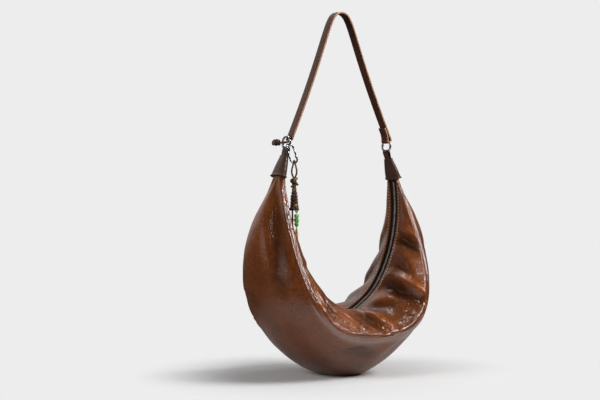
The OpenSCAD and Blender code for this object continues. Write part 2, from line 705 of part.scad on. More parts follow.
module carabiner_gate() {
    clear = carabiner_wire_r + fit_gap;
    color("#d6d4d1") at_carabiner() {
        difference() {
            union() {
                translate([bend_r, 0, gate_foot_z]) rotate([90, 0, 0])
                    cylinder(r = gate_r, h = lug_t, center = true, $fn = round_fn);
                translate([bend_r - gate_pin_r, -lug_t / 2, gate_foot_z])
                    cube([2 * gate_pin_r, lug_t, 2 * clear]);
            }
            translate([bend_r, 0, gate_foot_z]) rotate([90, 0, 0])
                cylinder(r = gate_pin_r + sewn_gap / 2, h = carabiner_w, center = true, $fn = round_fn);
        }
        wire_down(bend_r, gate_top_z - fit_gap, gate_l - fit_gap - clear, gate_r);
    }
}

module carabiner_pin() {
    color("#8f8d8a") at_carabiner() translate([bend_r, 0, gate_foot_z]) rotate([90, 0, 0])
        cylinder(r = gate_pin_r, h = 2 * carabiner_wire_r, center = true, $fn = round_fn);
}

// Lowest point of the carabiner's lower bend, where the charm's loop hangs
function leaning(a, b) = [cos(b) * sin(a), -sin(b), -cos(b) * cos(a)];
charm_top = hang + (bend_r + straight_l) * leaning(carabiner_lean_in, carabiner_lean_front)
    + bend_r * leaning(0, carabiner_lean_front);

// A tube of eight sides along points
tube_side_share = 0.2;
module tube(points, r) {
    n = len(points);
    sides = round_fn / 4;
    function dir(i) = unit(points[min(n - 1, i + 1)] - points[max(0, i - 1)]);
    rings = [for (i = [0:n - 1]) let (d = dir(i), u = unit(cross([1, tube_side_share, 0], d)),
            v = cross(d, u))
        for (k = [0:sides - 1]) points[i] + r * (cos(360 * k / sides) * u + sin(360 * k / sides) * v)];
    walls = [for (i = [0:n - 2]) for (k = [0:sides - 1]) let (a = i * sides + k,
            b = i * sides + (k + 1) % sides)
        each [[a, a + sides, b + sides], [a, b + sides, b]]];
    caps = [[for (k = [0:sides - 1]) k], [for (k = [sides - 1:-1:0]) (n - 1) * sides + k]];
    polyhedron(rings, concat(walls, caps));
}

// The loop of cord over the carabiner's lower bend, meeting at the knot
loop_half_w = carabiner_wire_r + cord_r + fit_gap;
loop_steps = 12;
loop_tilt_share = 0.3;
leg_step_share = 0.25;
loop_foot = [cord_r, loop_half_w - loop_l];
function loop_leg(t) = blend(loop_foot, [loop_half_w, 0], t);
function loop_place(p) = [loop_tilt_share * p[0], p[0], p[1]];
loop_points = concat([for (t = [0:leg_step_share:1 - leg_step_share]) loop_place(loop_leg(t))],
    [for (i = [0:loop_steps]) let (a = 180 * i / loop_steps)
        loop_place(loop_half_w * [cos(a), sin(a)])],
    [for (t = [1 - leg_step_share:-leg_step_share:0])
        loop_place([-loop_leg(t)[0], loop_leg(t)[1]])]);
knot_top = charm_top[2] - loop_l + loop_half_w + cord_r;
module charm_loop() {
    color("#8a6a35") difference() {
        translate(charm_top) tube(loop_points, cord_r);
        translate([charm_top[0], charm_top[1], knot_top + sewn_gap - knot_h / 2])
            cube([2 * knot_r, 2 * knot_r, knot_h], center = true);
    }
}

// Outline of the knot from its foot, in shares of its radius and height
knot_shape_shares = [[0, 0], [0.55, 0], [0.8, 0.12], [1, 0.3], [0.9, 0.46], [0.97, 0.66],
                     [0.85, 0.9], [0.6, 1], [0, 1]];
module charm_knot() {
    color("#4b3a28") translate([charm_top[0], charm_top[1], knot_top - knot_h])
        rotate_extrude($fn = round_fn)
            polygon([for (q = knot_shape_shares) [q[0] * knot_r, q[1] * knot_h]]);
}

// The braid's foot carries a small link, and the leaf's eye hangs in it
link_share = 1.45;
link_wire_share = 0.45;
leaf_aside_share = 0.6;
cord_aside_share = 0.5;
link_r = link_share * cord_r;
link_wire_r = link_wire_share * cord_r;
link_step = 2 * link_r - 2 * link_wire_r - sewn_gap;
braid_top = knot_top - knot_h - sewn_gap;
braid_foot = braid_top - braid_h;
leaf_x = charm_top[0] + braid_foot_r * leaf_aside_share;
link_z = braid_foot - link_r + link_wire_r;
eye_z = link_z - link_step;

module link() {
    rotate_extrude($fn = round_fn) translate([link_r, 0])
        circle(r = link_wire_r, $fn = round_fn / 2);
}

braid_bulge_share = 0.3;
module charm_braid() {
    turn_h = braid_h / braid_turns;
    bulge = turn_h * braid_bulge_share;
    color("#2f2620") {
        translate([charm_top[0], charm_top[1], braid_foot]) rotate_extrude($fn = round_fn) {
            polygon([[0, 0], [braid_foot_r - bulge, 0], [braid_top_r - bulge, braid_h],
                     [0, braid_h]]);
            for (k = [0:braid_turns - 1])
                translate([blend(braid_foot_r, braid_top_r, (k + 0.5) / braid_turns) - bulge,
                           (k + 0.5) * turn_h])
                    scale([2 * braid_bulge_share, 1]) circle(r = turn_h / 2, $fn = round_fn / 2);
        }
        translate([leaf_x, charm_top[1], link_z]) rotate([0, 90, 0]) link();
    }
}

module charm_cord() {
    x = charm_top[0] - braid_foot_r * cord_aside_share;
    color("#1b1815") translate([x, charm_top[1], braid_foot - sewn_gap - black_cord_l])
        cylinder(r = cord_r, h = black_cord_l, $fn = round_fn / 2);
}

// The leaf: its eye, and three carved lobes under it that run into each other
lobe_share = 0.2;
lobe_first_share = 0.7;
lobe_step_share = 1.5;
leaf_thick_share = 0.55;
lobe_r = leaf_l * lobe_share;
function lobe_down(k) = link_r + lobe_r * (lobe_first_share + lobe_step_share * k);
module charm_leaf() {
    color("#7fae62") translate([leaf_x, charm_top[1], eye_z]) {
        rotate([90, 0, 0]) link();
        for (k = [0:2]) translate([0, 0, -lobe_down(k)])
            scale([leaf_w / 2 / lobe_r, leaf_thick_share, 1]) sphere(r = lobe_r, $fn = round_fn);
    }
}

// Outline of the tail from its foot, in shares of its length and of the cord's radius
tail_shape_shares = [[0, 0], [1.6, 0], [2, 0.3], [1.2, 0.9], [0.5, 1], [0, 1]];
module charm_tail() {
    top = eye_z - lobe_down(2) - lobe_r - sewn_gap;
    color("#d9c39a") translate([leaf_x, charm_top[1], top - tail_l]) rotate_extrude($fn = round_fn)
        polygon([for (q = tail_shape_shares) [q[0] * cord_r, q[1] * tail_l]]);
}

outer_panel();
front_panel();
back_panel();
lining();
zip_tape(false);  // zip_tape_front
zip_tape(true);  // zip_tape_back
zip_teeth(false);  // zip_teeth_front
zip_teeth(true);  // zip_teeth_back
zip_stops();
zip_slider();
zip_pull();
mirror([1, 0, 0]) cap();  // left_cap
cap();  // right_cap
mirror([1, 0, 0]) tab();  // left_tab
tab();  // right_tab
mirror([1, 0, 0]) ring();  // left_ring
ring();  // right_ring
strap();
strap_tongue();
strap_knot();
carabiner_body();
carabiner_gate();
carabiner_pin();
charm_loop();
charm_knot();
charm_braid();
charm_cord();
charm_leaf();
charm_tail();
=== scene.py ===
# %% [markdown]
# # A half moon shoulder bag
# The real bag is a boat of glossy crinkled leather. A broad outer panel runs from horn
# to horn round the bottom, and two crescent panels close it towards a zip. The packed
# construction model gives every place and size, and this lesson dresses it: each soft
# piece is laid again as a fine sheet with its folds, and each finish is built from nodes.

# %% Load the construction model
import math

import bpy
import numpy as np
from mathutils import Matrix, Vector, noise


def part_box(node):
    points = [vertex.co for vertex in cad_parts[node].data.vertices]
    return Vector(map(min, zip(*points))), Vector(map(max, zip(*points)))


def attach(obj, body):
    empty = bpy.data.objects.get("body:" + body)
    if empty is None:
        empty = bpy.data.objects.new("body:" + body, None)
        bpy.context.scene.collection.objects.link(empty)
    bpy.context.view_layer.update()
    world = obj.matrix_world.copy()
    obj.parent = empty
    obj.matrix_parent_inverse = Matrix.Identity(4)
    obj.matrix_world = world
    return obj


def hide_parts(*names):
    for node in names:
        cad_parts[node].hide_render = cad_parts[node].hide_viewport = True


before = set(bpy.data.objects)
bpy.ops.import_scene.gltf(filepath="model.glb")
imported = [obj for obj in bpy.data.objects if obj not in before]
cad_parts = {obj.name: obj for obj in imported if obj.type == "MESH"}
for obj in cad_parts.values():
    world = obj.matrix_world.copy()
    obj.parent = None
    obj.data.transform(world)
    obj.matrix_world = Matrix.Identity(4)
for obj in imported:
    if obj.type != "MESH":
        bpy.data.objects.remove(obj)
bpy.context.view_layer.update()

# %% [markdown]
# ## Camera
# The photograph looks at the bag from a little left of its front, almost level. A lens
# shift keeps the upright lines upright while the bag stands right of the middle.

# %% Camera
PICTURE_W = 600
PIXELS_PER_MM = 0.81
FRAME_SHIFT = (-37.87, 28.08)
SENSOR_W = 36
LOOK_TURN = math.radians(38.8)
LOOK_DOWN = math.radians(1.2)
LOOK_FROM = 1.625
LOOK_AT = Vector((0, 0, 0.18))
looking = Vector((math.sin(LOOK_TURN) * math.cos(LOOK_DOWN),
                  math.cos(LOOK_TURN) * math.cos(LOOK_DOWN), -math.sin(LOOK_DOWN)))
bpy.ops.object.select_all(action="DESELECT")
bpy.ops.object.camera_add(location=LOOK_AT - looking * LOOK_FROM,
                          rotation=(math.pi / 2 - LOOK_DOWN, 0, -LOOK_TURN))
camera = bpy.context.object
camera.name = "camera"
camera.data.sensor_width = SENSOR_W
camera.data.lens = PIXELS_PER_MM * LOOK_FROM * 1000 / PICTURE_W * SENSOR_W
camera.data.shift_x, camera.data.shift_y = (pixels / PICTURE_W for pixels in FRAME_SHIFT)
bpy.context.scene.camera = camera
bpy.context.scene.view_settings.view_transform = "Standard"
print("lens", round(camera.data.lens, 1), "mm")

# %% [markdown]
# ## Nodes
# Every finish in this lesson is a graph of shader nodes. They could be wired one socket
# at a time in the shader editor. Here one helper adds a node with its settings and its
# inputs together, and an input takes either a plain value or another node. Inputs have
# capital letters, settings have none, and SlotN is for inputs that share one name.

# %% Node helpers
PALE = (0.847, 0.847, 0.847, 1)
WHITE = (1, 1, 1, 1)


def feed(target, **inputs):
    for key, value in inputs.items():
        slot = target.inputs[int(key[4:]) if key.startswith("Slot") else key.replace("_", " ")]
        if isinstance(value, bpy.types.Node):
            value = next(output for output in value.outputs if output.enabled)
        if isinstance(value, bpy.types.NodeSocket):
            target.id_data.links.new(value, slot)
        else:
            slot.default_value = value


def node(tree, kind, **settings):
    made = tree.nodes.new("ShaderNode" + kind)
    for key, value in settings.items():
        if key[0].islower():
            setattr(made, key, value)
    feed(made, **{key: value for key, value in settings.items() if key[0].isupper()})
    return made


def smooth_step(tree, value, start, end):
    return node(tree, "MapRange", interpolation_type="SMOOTHSTEP", Value=value,
                From_Min=start, From_Max=end)


def pick(tree, share, first, second):
    return node(tree, "MixShader", Fac=share, Slot1=first, Slot2=second)


def nodes_of(name, **inputs):
    look = bpy.data.materials.new(name)
    look.use_nodes = True
    shader = look.node_tree.nodes["Principled BSDF"]
    feed(shader, **inputs)
    return look, look.node_tree, shader


# %% [markdown]
# ## Floor
# The studio is a pale sweep. The floor takes the bag's soft shadow near the middle, and
# further out it turns into the same pale tone as the backdrop, so no edge shows. The
# floor that the glossy leather mirrors is dark further out, and the light that it
# throws back up on the bag is dim, as over a floor that ends soon.

# %% Floor
def deselect():
    if bpy.context.object and bpy.context.object.mode != "OBJECT":
        bpy.ops.object.mode_set(mode="OBJECT")
    bpy.ops.object.select_all(action="DESELECT")


deselect()
bpy.ops.mesh.primitive_circle_add(vertices=96, radius=6, fill_type="NGON", location=(0, 0, 0))
floor = bpy.context.object
floor.name = "floor"
floor_look, tree, shader = nodes_of("pale_floor", Roughness=0.9, Specular_IOR_Level=0.1)
place = node(tree, "TexCoord").outputs["Object"]
ray = node(tree, "LightPath").outputs
bounce = node(tree, "Mix", data_type="RGBA", Factor=ray["Is Diffuse Ray"],
              A=(0.7, 0.7, 0.7, 1), B=(0.22, 0.21, 0.2, 1))
feed(shader, Base_Color=bounce)
from_middle = node(tree, "VectorMath", operation="LENGTH", Slot0=place)
edge = smooth_step(tree, from_middle, 0.12, 0.26)
direct = node(tree, "Math", operation="MAXIMUM", Slot0=ray["Is Camera Ray"],
              Slot1=ray["Is Glossy Ray"])
only_seen = node(tree, "Math", operation="MULTIPLY", Slot0=direct, Slot1=edge)
glow = node(tree, "Emission", Color=PALE, Strength=1.0)
near_floor = pick(tree, only_seen, shader, glow)
from_front = node(tree, "VectorMath", operation="DISTANCE", Slot0=place, Slot1=(0.03, -0.16, 0))
far_off = smooth_step(tree, from_front, 0.26, 0.42)
hidden = node(tree, "Math", operation="MULTIPLY", Slot0=far_off, Slot1=ray["Is Glossy Ray"])
dark_room = node(tree, "Emission", Color=WHITE, Strength=0.05)
feed(tree.nodes["Material Output"], Surface=pick(tree, hidden, near_floor, dark_room))
floor.data.materials.append(floor_look)
print("floor", len(tree.nodes), "nodes")

# %% [markdown]
# ## Backdrop
# One world does three jobs. The camera sees the pale tone. Rough surfaces get a weak,
# even fill. The glossy coat mirrors a dark room that has a bright sweep high behind the
# bag and a wall at its left, because gloss is only as good as what it mirrors.

# %% Backdrop
world = bpy.context.scene.world or bpy.data.worlds.new("studio")
bpy.context.scene.world = world
world.use_nodes = True
tree = world.node_tree
tree.nodes.clear()
ray = node(tree, "LightPath").outputs
way = node(tree, "TexCoord").outputs["Generated"]


def backdrop(colour, strength):
    return node(tree, "Background", Color=colour, Strength=strength)


def towards(direction, start, end):
    facing = node(tree, "VectorMath", operation="DOT_PRODUCT", Slot0=way, Slot1=direction)
    return smooth_step(tree, facing, start, end)


walled = pick(tree, towards((-0.98, 0.12, 0.15), 0.88, 0.95), backdrop(WHITE, 0.02),
              backdrop(PALE, 1.05))
mirrored = pick(tree, towards((0.1, 0.78, 0.62), 0.72, 0.9), walled, backdrop(PALE, 1.3))
unseen = pick(tree, ray["Is Glossy Ray"], backdrop(WHITE, 0.09), mirrored)
feed(node(tree, "OutputWorld"),
     Surface=pick(tree, ray["Is Camera Ray"], unseen, backdrop(PALE, 1.0)))
print("backdrop", len(tree.nodes), "nodes")

# %% [markdown]
# ## Lamps
# Three broad lamps light the bag, from the right, the left and above, and its gloss
# doesn't mirror them. Four narrow strips do the opposite: they light nothing and show
# only in the gloss, as thin bright lines along folds and seams. The dark between them
# gives the dark upright band that such a horn shows.

# %% Lamps
def soft_lamp(name, place, aim_height, size, power, mirrored):
    deselect()
    way = Vector((0, 0, aim_height)) - Vector(place)
    bpy.ops.object.light_add(type="AREA", location=place,
                             rotation=way.to_track_quat("-Z", "Y").to_euler())
    lamp = bpy.context.object
    lamp.name = name
    lamp.data.shape = "RECTANGLE"
    lamp.data.size, lamp.data.size_y = size
    lamp.data.energy = power
    lamp.visible_diffuse = not mirrored
    lamp.visible_glossy = mirrored


# Name, place, height it is aimed at, width and length in metres, watts, only mirrored
for lamp in (("key_right", (1.0, -1.1, 1.25), 0.1, (0.8, 0.8), 40, False),
             ("key_left", (-1.5, 0.05, 0.8), 0.15, (0.8, 0.8), 15, False),
             ("key_above", (0.3, -0.2, 1.9), 0, (1.2, 1.2), 6, False),
             ("strip_right", (1.48, 0.16, 0.95), 0.1, (0.25, 0.5), 5.0, True),
             ("strip_front", (0.95, -1.28, 1.15), 0.1, (0.22, 0.5), 7.5, True),
             ("strip_high", (0.04, -1.36, 1.45), 0.1, (0.16, 0.2), 3.0, True),
             ("strip_above", (0.45, 0.3, 1.7), 0.1, (0.35, 0.8), 8.0, True)):
    soft_lamp(*lamp)

# %% [markdown]
# ## Laying a sheet
# Leather is cut flat and pulled into shape, so each panel starts as a flat grid with its
# own UV map, and every point is then carried to its place on the bag. The grid could be
# moulded by hand, but the construction is known exactly, so its curves are used here.
# A tube closes on itself, so its doubles are merged, and its open ends are filled.

# %% Working on a mesh
MM = 0.001
SAME_PLACE = 1e-6


def settle(name):
    piece = bpy.context.object
    piece.name = name
    piece.data.name = name
    bpy.ops.object.transform_apply(location=True, rotation=True, scale=True)
    return piece


def activate(piece):
    deselect()
    piece.select_set(True)
    bpy.context.view_layer.objects.active = piece


def edit_mesh(*steps):
    bpy.ops.object.mode_set(mode="EDIT")
    bpy.ops.mesh.select_all(action="SELECT")
    for step in steps:
        step()
    bpy.ops.object.mode_set(mode="OBJECT")


def merge():
    bpy.ops.mesh.remove_doubles(threshold=SAME_PLACE)


def fill_ends():
    bpy.ops.mesh.select_all(action="DESELECT")
    bpy.ops.mesh.select_non_manifold(extend=False)
    bpy.ops.mesh.fill_holes(sides=0)
    bpy.ops.mesh.select_all(action="SELECT")


def face_out():
    bpy.ops.mesh.normals_make_consistent(inside=False)


def finish_with(piece, kind, **settings):
    activate(piece)
    modifier = piece.modifiers.new(kind.lower(), kind)
    for key, value in settings.items():
        setattr(modifier, key, value)
    bpy.ops.object.modifier_apply(modifier=modifier.name)


def dress(piece, look, body, *stands_for):
    if look:
        piece.data.materials.clear()
        piece.data.materials.append(look)
    if stands_for:
        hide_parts(*stands_for)
    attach(piece, body)
    return piece


# %% Sheets from a grid
def lay_grid(name, points, outward=None, closed=False, capped=False, **values):
    rows, columns = points.shape[:2]
    deselect()
    bpy.ops.mesh.primitive_grid_add(x_subdivisions=columns - 1, y_subdivisions=rows - 1,
                                    size=2, calc_uvs=True)
    piece = settle(name)
    flat = np.empty(len(piece.data.vertices) * 3)
    piece.data.vertices.foreach_get("co", flat)
    flat = flat.reshape(-1, 3)
    column = np.rint((flat[:, 0] + 1) / 2 * (columns - 1)).astype(int)
    row = np.rint((flat[:, 1] + 1) / 2 * (rows - 1)).astype(int)
    piece.data.vertices.foreach_set("co", (points[row, column] * MM).ravel())
    for kept, table in values.items():
        attribute = piece.data.attributes.new(kept, "FLOAT", "POINT")
        attribute.data.foreach_set("value", table[row, column].astype(np.float32))
    edit_mesh(*[step for step, wanted in ((merge, closed), (fill_ends, capped),
                                          (face_out, closed or capped)) if wanted])
    if outward is not None:
        middle = piece.data.polygons[len(piece.data.polygons) // 2]
        if middle.normal.dot(Vector(outward)) < 0:
            edit_mesh(bpy.ops.mesh.flip_normals)
    bpy.ops.object.shade_smooth()
    print(name, len(piece.data.polygons), "faces")
    return piece


# %% [markdown]
# ## The bag's curves
# These are the construction's own lines, in millimetres: the seam, the outer line and
# the zip, which is a tight fold at the bottom and a long arc up to each horn. A share of
# the way from the bottom to a horn tip runs from 0 to 1, and the left half has it
# negative. On its right half the zip sags to the front.

# %% Curves of the body
SEAM_LINE = np.array([[0, 50], [60, 50], [119, 60], [90, 250.0]])
OUTER_LINE = np.array([[0, -3], [76, -3], [186, 138], [92, 250.0]])
TIP_STEP = np.array([2.0, 0])
TIP_POWER = 14
LEATHER = 1.3
SEWN_GAP = 0.15
TAPE = 0.7
ZIP_FOLD_R = 34.0
ZIP_ARC_R = 185.0
ZIP_LOW = 71
ZIP_TIP = np.array([88.5, 250.0])
ZIP_GAP = 6.3
ZIP_LIP = LEATHER + SEWN_GAP + TAPE / 4
ZIP_SAG = 13.5
SAG_RUN = 66
SLOPE_STEP = 0.7


def curve(line, t):
    t = np.asarray(t, float)[..., None]
    return ((1 - t) ** 3 * line[0] + 3 * (1 - t) ** 2 * t * line[1]
            + 3 * (1 - t) * t ** 2 * line[2] + t ** 3 * line[3])


fold_centre = np.array([0, ZIP_LOW + ZIP_FOLD_R])
tip_way = ZIP_TIP - fold_centre
tip_far = np.hypot(*tip_way)
tip_way = tip_way / tip_far
arc_near = ((ZIP_ARC_R - ZIP_FOLD_R) ** 2 - ZIP_ARC_R ** 2 + tip_far ** 2) / (2 * tip_far)
arc_aside = math.sqrt((ZIP_ARC_R - ZIP_FOLD_R) ** 2 - arc_near ** 2)
arc_centre = fold_centre + tip_way * arc_near + np.array([-tip_way[1], tip_way[0]]) * arc_aside
fold_turn = math.pi / 2 + math.atan2(*(fold_centre - arc_centre)[::-1])
tip_turn = math.pi / 2 + math.atan2(*(ZIP_TIP - arc_centre)[::-1])
fold_length = ZIP_FOLD_R * fold_turn
zip_length = fold_length + ZIP_ARC_R * (tip_turn - fold_turn)
print("each half of the zip is", round(zip_length), "mm long")


# %% Along the zip
def zip_angle(s):
    return np.where(s < fold_length, s / ZIP_FOLD_R, fold_turn + (s - fold_length) / ZIP_ARC_R)


def zip_at(s):
    a = zip_angle(s)
    out = np.stack([np.sin(a), -np.cos(a)], -1)
    return np.where((s < fold_length)[..., None], fold_centre + ZIP_FOLD_R * out,
                    arc_centre + ZIP_ARC_R * out)


def zip_up(s):
    a = zip_angle(s)
    return np.stack([-np.sin(a), np.cos(a)], -1)


def zip_aside(s):
    u = np.clip(s / SAG_RUN, 0, 1)
    fade = 1 - (np.clip(s, 0, None) / zip_length) ** 2
    return -ZIP_SAG * np.sin(math.pi / 2 * u) ** 2 * fade


def zip_slope(s):
    return (zip_aside(s + SLOPE_STEP) - zip_aside(s - SLOPE_STEP)) / (2 * SLOPE_STEP)


def zip_run(b):
    return b ** 1.7 * zip_length


print("the zip sags by", round(-float(zip_aside(np.array(SAG_RUN))), 1), "mm")

# %% [markdown]
# ## The bag's faces
# Three smooth faces hang on those curves. The outer face is a boat whose section is a
# little squarer than an ellipse. Each crescent is a swollen strip from the seam to the
# zip. They are the bag before it is used, and the folds come on top.

# %% Faces of the body
HORN_HALF = 8.5
BELLY_HALF = 79
BELLY_POWERS = (4.4, 1.38)
BACK_DRAWN_IN = 24
BELLY_SWELL = 20
HORN_SWELL = 0.8
NEARBY = 0.01


def depth_at(a):
    full = np.maximum(0, 1 - np.abs(a) ** BELLY_POWERS[0]) ** BELLY_POWERS[1]
    return HORN_HALF + (BELLY_HALF - HORN_HALF) * full


def seam_y(a, back):
    drawn_in = np.where(a > 0, BACK_DRAWN_IN * np.sin(math.pi * np.abs(a) ** 1.3), 0)
    return depth_at(a) - drawn_in if back else -depth_at(a)


def to_side(a):
    return np.where(a < 0, -1.0, 1.0)


def outer_edge(b):
    seam, edge = curve(SEAM_LINE, b), curve(OUTER_LINE, b)
    return seam, edge + (seam + TIP_STEP - edge) * (np.asarray(b) ** TIP_POWER)[..., None]


def outer_point(a, w):
    b = np.abs(a)
    v = np.sin(math.pi / 2 * w)
    s, o = outer_edge(b)
    p = s + (o - s) * (1 - np.abs(v) ** (2.6 - 0.45 * b))[..., None]
    y = np.abs(v) * np.where(v > 0, seam_y(a, True), seam_y(a, False))
    return np.stack([to_side(a) * p[..., 0], y, np.maximum(0, p[..., 1])], -1)


def seam_point(a, back):
    p = curve(SEAM_LINE, np.abs(a))
    return np.stack([to_side(a) * p[..., 0], seam_y(a, back), p[..., 1]], -1)


def panel_point(a, t, back):
    b = np.abs(a)
    s = zip_run(b)
    z = zip_at(s) + zip_up(s) * ZIP_LIP
    gap = zip_aside(to_side(a) * s) + (ZIP_GAP if back else -ZIP_GAP)
    p = seam_point(a, back)
    chord = np.stack([to_side(a) * z[..., 0], gap, z[..., 1]], -1) - p
    run = (seam_point(np.minimum(1, a + NEARBY), back)
           - seam_point(np.maximum(-1, a - NEARBY), back))
    out = np.cross(chord, run) if back else np.cross(run, chord)
    out /= np.linalg.norm(out, axis=-1, keepdims=True)
    swell = BELLY_SWELL - (BELLY_SWELL - HORN_SWELL) * b ** 1.4
    return p + chord * t[..., None] + out * (swell * 4 * t * (1 - t))[..., None]


print("belly", 2 * BELLY_HALF, "mm deep, horns", 2 * HORN_HALF, "mm")

# %% [markdown]
# ## Folds
# Soft leather dents where it has too much length, and each dent is a valley with a
# raised shoulder beside it. A fold is drawn here as a line through a few stops on a
# panel, with a width and a depth, and it fades towards its ends. The shoulder lies above
# the valley, or on the side that the fold names. Slow noise adds the small unevenness
# that no flat pattern piece keeps.

# %% Sculpting tools
FOLD_STEPS = 60
SHOULDER_OFF = 1.5
SHOULDER_WIDTH = 1.1


def unit(v):
    return v / np.maximum(np.linalg.norm(v, axis=-1, keepdims=True), 1e-9)


def normals_towards(points, across, way):
    out = unit(np.cross(np.gradient(points, axis=0), np.gradient(points, axis=1)))
    return out if out[len(points) // 2, across] @ np.array(way) > 0 else -out


def fold(points, surface, stops, width, depth, shoulder=0.5, toward=(0, 0, 1)):
    at = np.linspace(0, len(stops) - 1, FOLD_STEPS)
    place = [np.interp(at, range(len(stops)), [stop[k] for stop in stops]) for k in (0, 1)]
    rel = points[:, :, None] - surface(*place)
    far = np.linalg.norm(rel, axis=-1)
    nearest = far.argmin(-1)
    off = far.min(-1)
    rel = np.take_along_axis(rel, nearest[..., None, None], 2)[:, :, 0]
    fade = np.sin(math.pi * (0.12 + 0.76 * nearest / (FOLD_STEPS - 1))) ** 1.2
    signed = np.sign(rel @ np.array(toward, float)) * off
    valley = np.exp(-(off / np.where(signed < 0, 1.5 * width, width)) ** 2)
    raised = np.exp(-((signed - SHOULDER_OFF * width) / (SHOULDER_WIDTH * width)) ** 2)
    return depth * fade * (shoulder * raised - valley)


def slow_noise(points, size, seed):
    flat = points.reshape(-1, 3) / size
    rough = [noise.noise(Vector((p[0] + seed, p[1], p[2] - seed))) for p in flat]
    return np.array(rough).reshape(points.shape[:2])


# %% [markdown]
# ## Leather
# The leather is brown, waxed to a high gloss and crinkled by hand. Under a lamp the
# gloss breaks up into short bright threads. The base is a rough brown with slow patches,
# partly metallic, which deepens it as wax does, and a clear coat over it carries the
# sharp highlights. The crinkle is fine cells drawn out by noise, and it bends both
# layers. Two values on each panel's points steer the look. The first is each fold's
# depth, which darkens the valleys as painted shade and lightens the ridges as rubbed
# wear. The second, "polish", makes the coat stronger beside the seams, where hands rub it.

# %% Colour ramp and bump
def ramp(tree, share, first, second, start=0.0, end=1.0):
    made = node(tree, "ValToRGB", Fac=share)
    for stop, colour, place in zip(made.color_ramp.elements, (first, second), (start, end)):
        stop.position = place
        stop.color = (*colour, 1)
    return made


def bump(tree, height, strength, distance, **under):
    return node(tree, "Bump", Height=height, Strength=strength, Distance=distance, **under)


def on_piece(tree):
    return node(tree, "TexCoord").outputs["Object"]


# %% Crinkled leather
def crinkled_leather(name, light, dark, gloss, depth, waxed=0.0):
    look, tree, shader = nodes_of(name, Metallic=waxed, Specular_IOR_Level=0.15,
                                  Coat_Roughness=0.06, Coat_IOR=2.2)
    place = on_piece(tree)
    patches, grain, warp = [
        node(tree, "TexNoise", Vector=place, Scale=scale, Detail=detail, Roughness=rough)
        for scale, detail, rough in ((22.0, 6.0, 0.62), (420.0, 4.0, 0.7), (90.0, 3.0, 0.6))]
    drawn_out = node(tree, "VectorMath", operation="MULTIPLY_ADD", Slot0=warp.outputs["Color"],
                     Slot1=(0.012, 0.012, 0.012), Slot2=place)
    creases, wide = [
        node(tree, "MapRange", From_Max=width, Value=node(
            tree, "TexVoronoi", feature="DISTANCE_TO_EDGE", Vector=drawn_out, Scale=scale))
        for scale, width in ((330.0, 0.16), (150.0, 0.1))]
    # Fold depth on the points: valleys get darker base colour as painted shade, ridges get
    # lighter as rubbed wear
    wear = node(tree, "Attribute", attribute_name="wear").outputs["Fac"]
    polish = node(tree, "Attribute", attribute_name="polish").outputs["Fac"]
    lines = node(tree, "MapRange", Value=creases, To_Min=0.45)
    specks = node(tree, "MapRange", Value=grain, From_Min=0.35, From_Max=0.65, To_Min=0.72,
                  To_Max=1.15)
    crease_shade_and_rub = node(tree, "MapRange", Value=wear, From_Min=-1.0, To_Min=0.3, To_Max=1.7)
    colour = ramp(tree, patches, dark, light, 0.32, 0.7)
    for layer, share in ((lines, 0.3), (specks, 0.8), (crease_shade_and_rub, 0.8)):
        colour = node(tree, "Mix", data_type="RGBA", blend_type="MULTIPLY", Factor=share,
                      A=colour, B=layer)
    base_bump = bump(tree, creases, 0.55 * depth, 0.0004)
    base_bump = bump(tree, wide, 0.4 * depth, 0.0007, Normal=base_bump)
    base_bump = bump(tree, grain, 0.3 * depth, 0.0003, Normal=base_bump)
    coat_bump = bump(tree, wide, 0.2 * depth, 0.0005)
    coat_bump = bump(tree, creases, 0.22 * depth, 0.0003, Normal=coat_bump)
    feed(shader, Base_Color=colour, Normal=base_bump, Coat_Normal=coat_bump,
         Roughness=node(tree, "MapRange", Value=grain, To_Min=0.3, To_Max=0.5),
         Coat_Weight=node(tree, "MapRange", Value=polish, To_Min=gloss,
                          To_Max=min(1.0, 3 * gloss)))
    print(name, len(tree.nodes), "nodes")
    return look


body_leather = crinkled_leather("crinkled_leather", (0.29, 0.075, 0.0135), (0.14, 0.036, 0.0065),
                                gloss=0.3, depth=1.0, waxed=0.3)
dark_leather = crinkled_leather("cap_leather", (0.1, 0.046, 0.031), (0.055, 0.026, 0.019),
                                gloss=0.12, depth=0.6)
band_leather = crinkled_leather("strap_leather", (0.11, 0.044, 0.026), (0.065, 0.027, 0.016),
                                gloss=0.04, depth=0.5)

# %% [markdown]
# ## Painted edges
# The strap's cut edges are painted tan and polished. Paint on leather stays uneven, so
# a fine noise mixes two tans and raises the surface a little. Thread, steel and stone
# need the same mix of two tones, so it is a helper.

# %% Mottled finishes
def mottled(name, dark, light, scale, detail, start=0.0, end=1.0, **inputs):
    look, tree, shader = nodes_of(name, **inputs)
    cloudy = node(tree, "TexNoise", Vector=on_piece(tree), Scale=scale, Detail=detail)
    feed(shader, Base_Color=ramp(tree, cloudy, dark, light, start, end))
    return look, tree, shader, cloudy


edge_paint, tree, shader, flecks = mottled("edge_paint", (0.3, 0.13, 0.075), (0.6, 0.34, 0.22),
                                           260.0, 5.0, Roughness=0.38, Coat_Weight=0.3)
feed(shader, Normal=bump(tree, flecks, 0.3, 0.0003))
print("edge_paint", len(tree.nodes), "nodes")

# %% [markdown]
# ## Outer panel
# The widest piece of leather. It is smooth at the front left, where the photograph shows
# broad bands of light, with a shallow dent low on the right, and pleats where the horns
# are gathered into the caps. Its edges roll into the seams. Near the ground the folds
# fade, because the bag stands on that part.

# %% Edges of a panel
ROLL_DEPTH = 1.1
ROLL_WIDTH = 2.2
RIDGE_OFF = 5.5
BURNISH_WIDTH = 8.0


def seam_roll(distance, ridge, ridge_width):
    roll = -ROLL_DEPTH * np.exp(-(distance / ROLL_WIDTH) ** 2)
    return roll, ridge * np.exp(-((distance - RIDGE_OFF) / ridge_width) ** 2)


def burnished(distance):
    return np.exp(-(distance / BURNISH_WIDTH) ** 4)


def far_from(points, column):
    return np.linalg.norm(points - points[:, column][:, None], axis=-1)


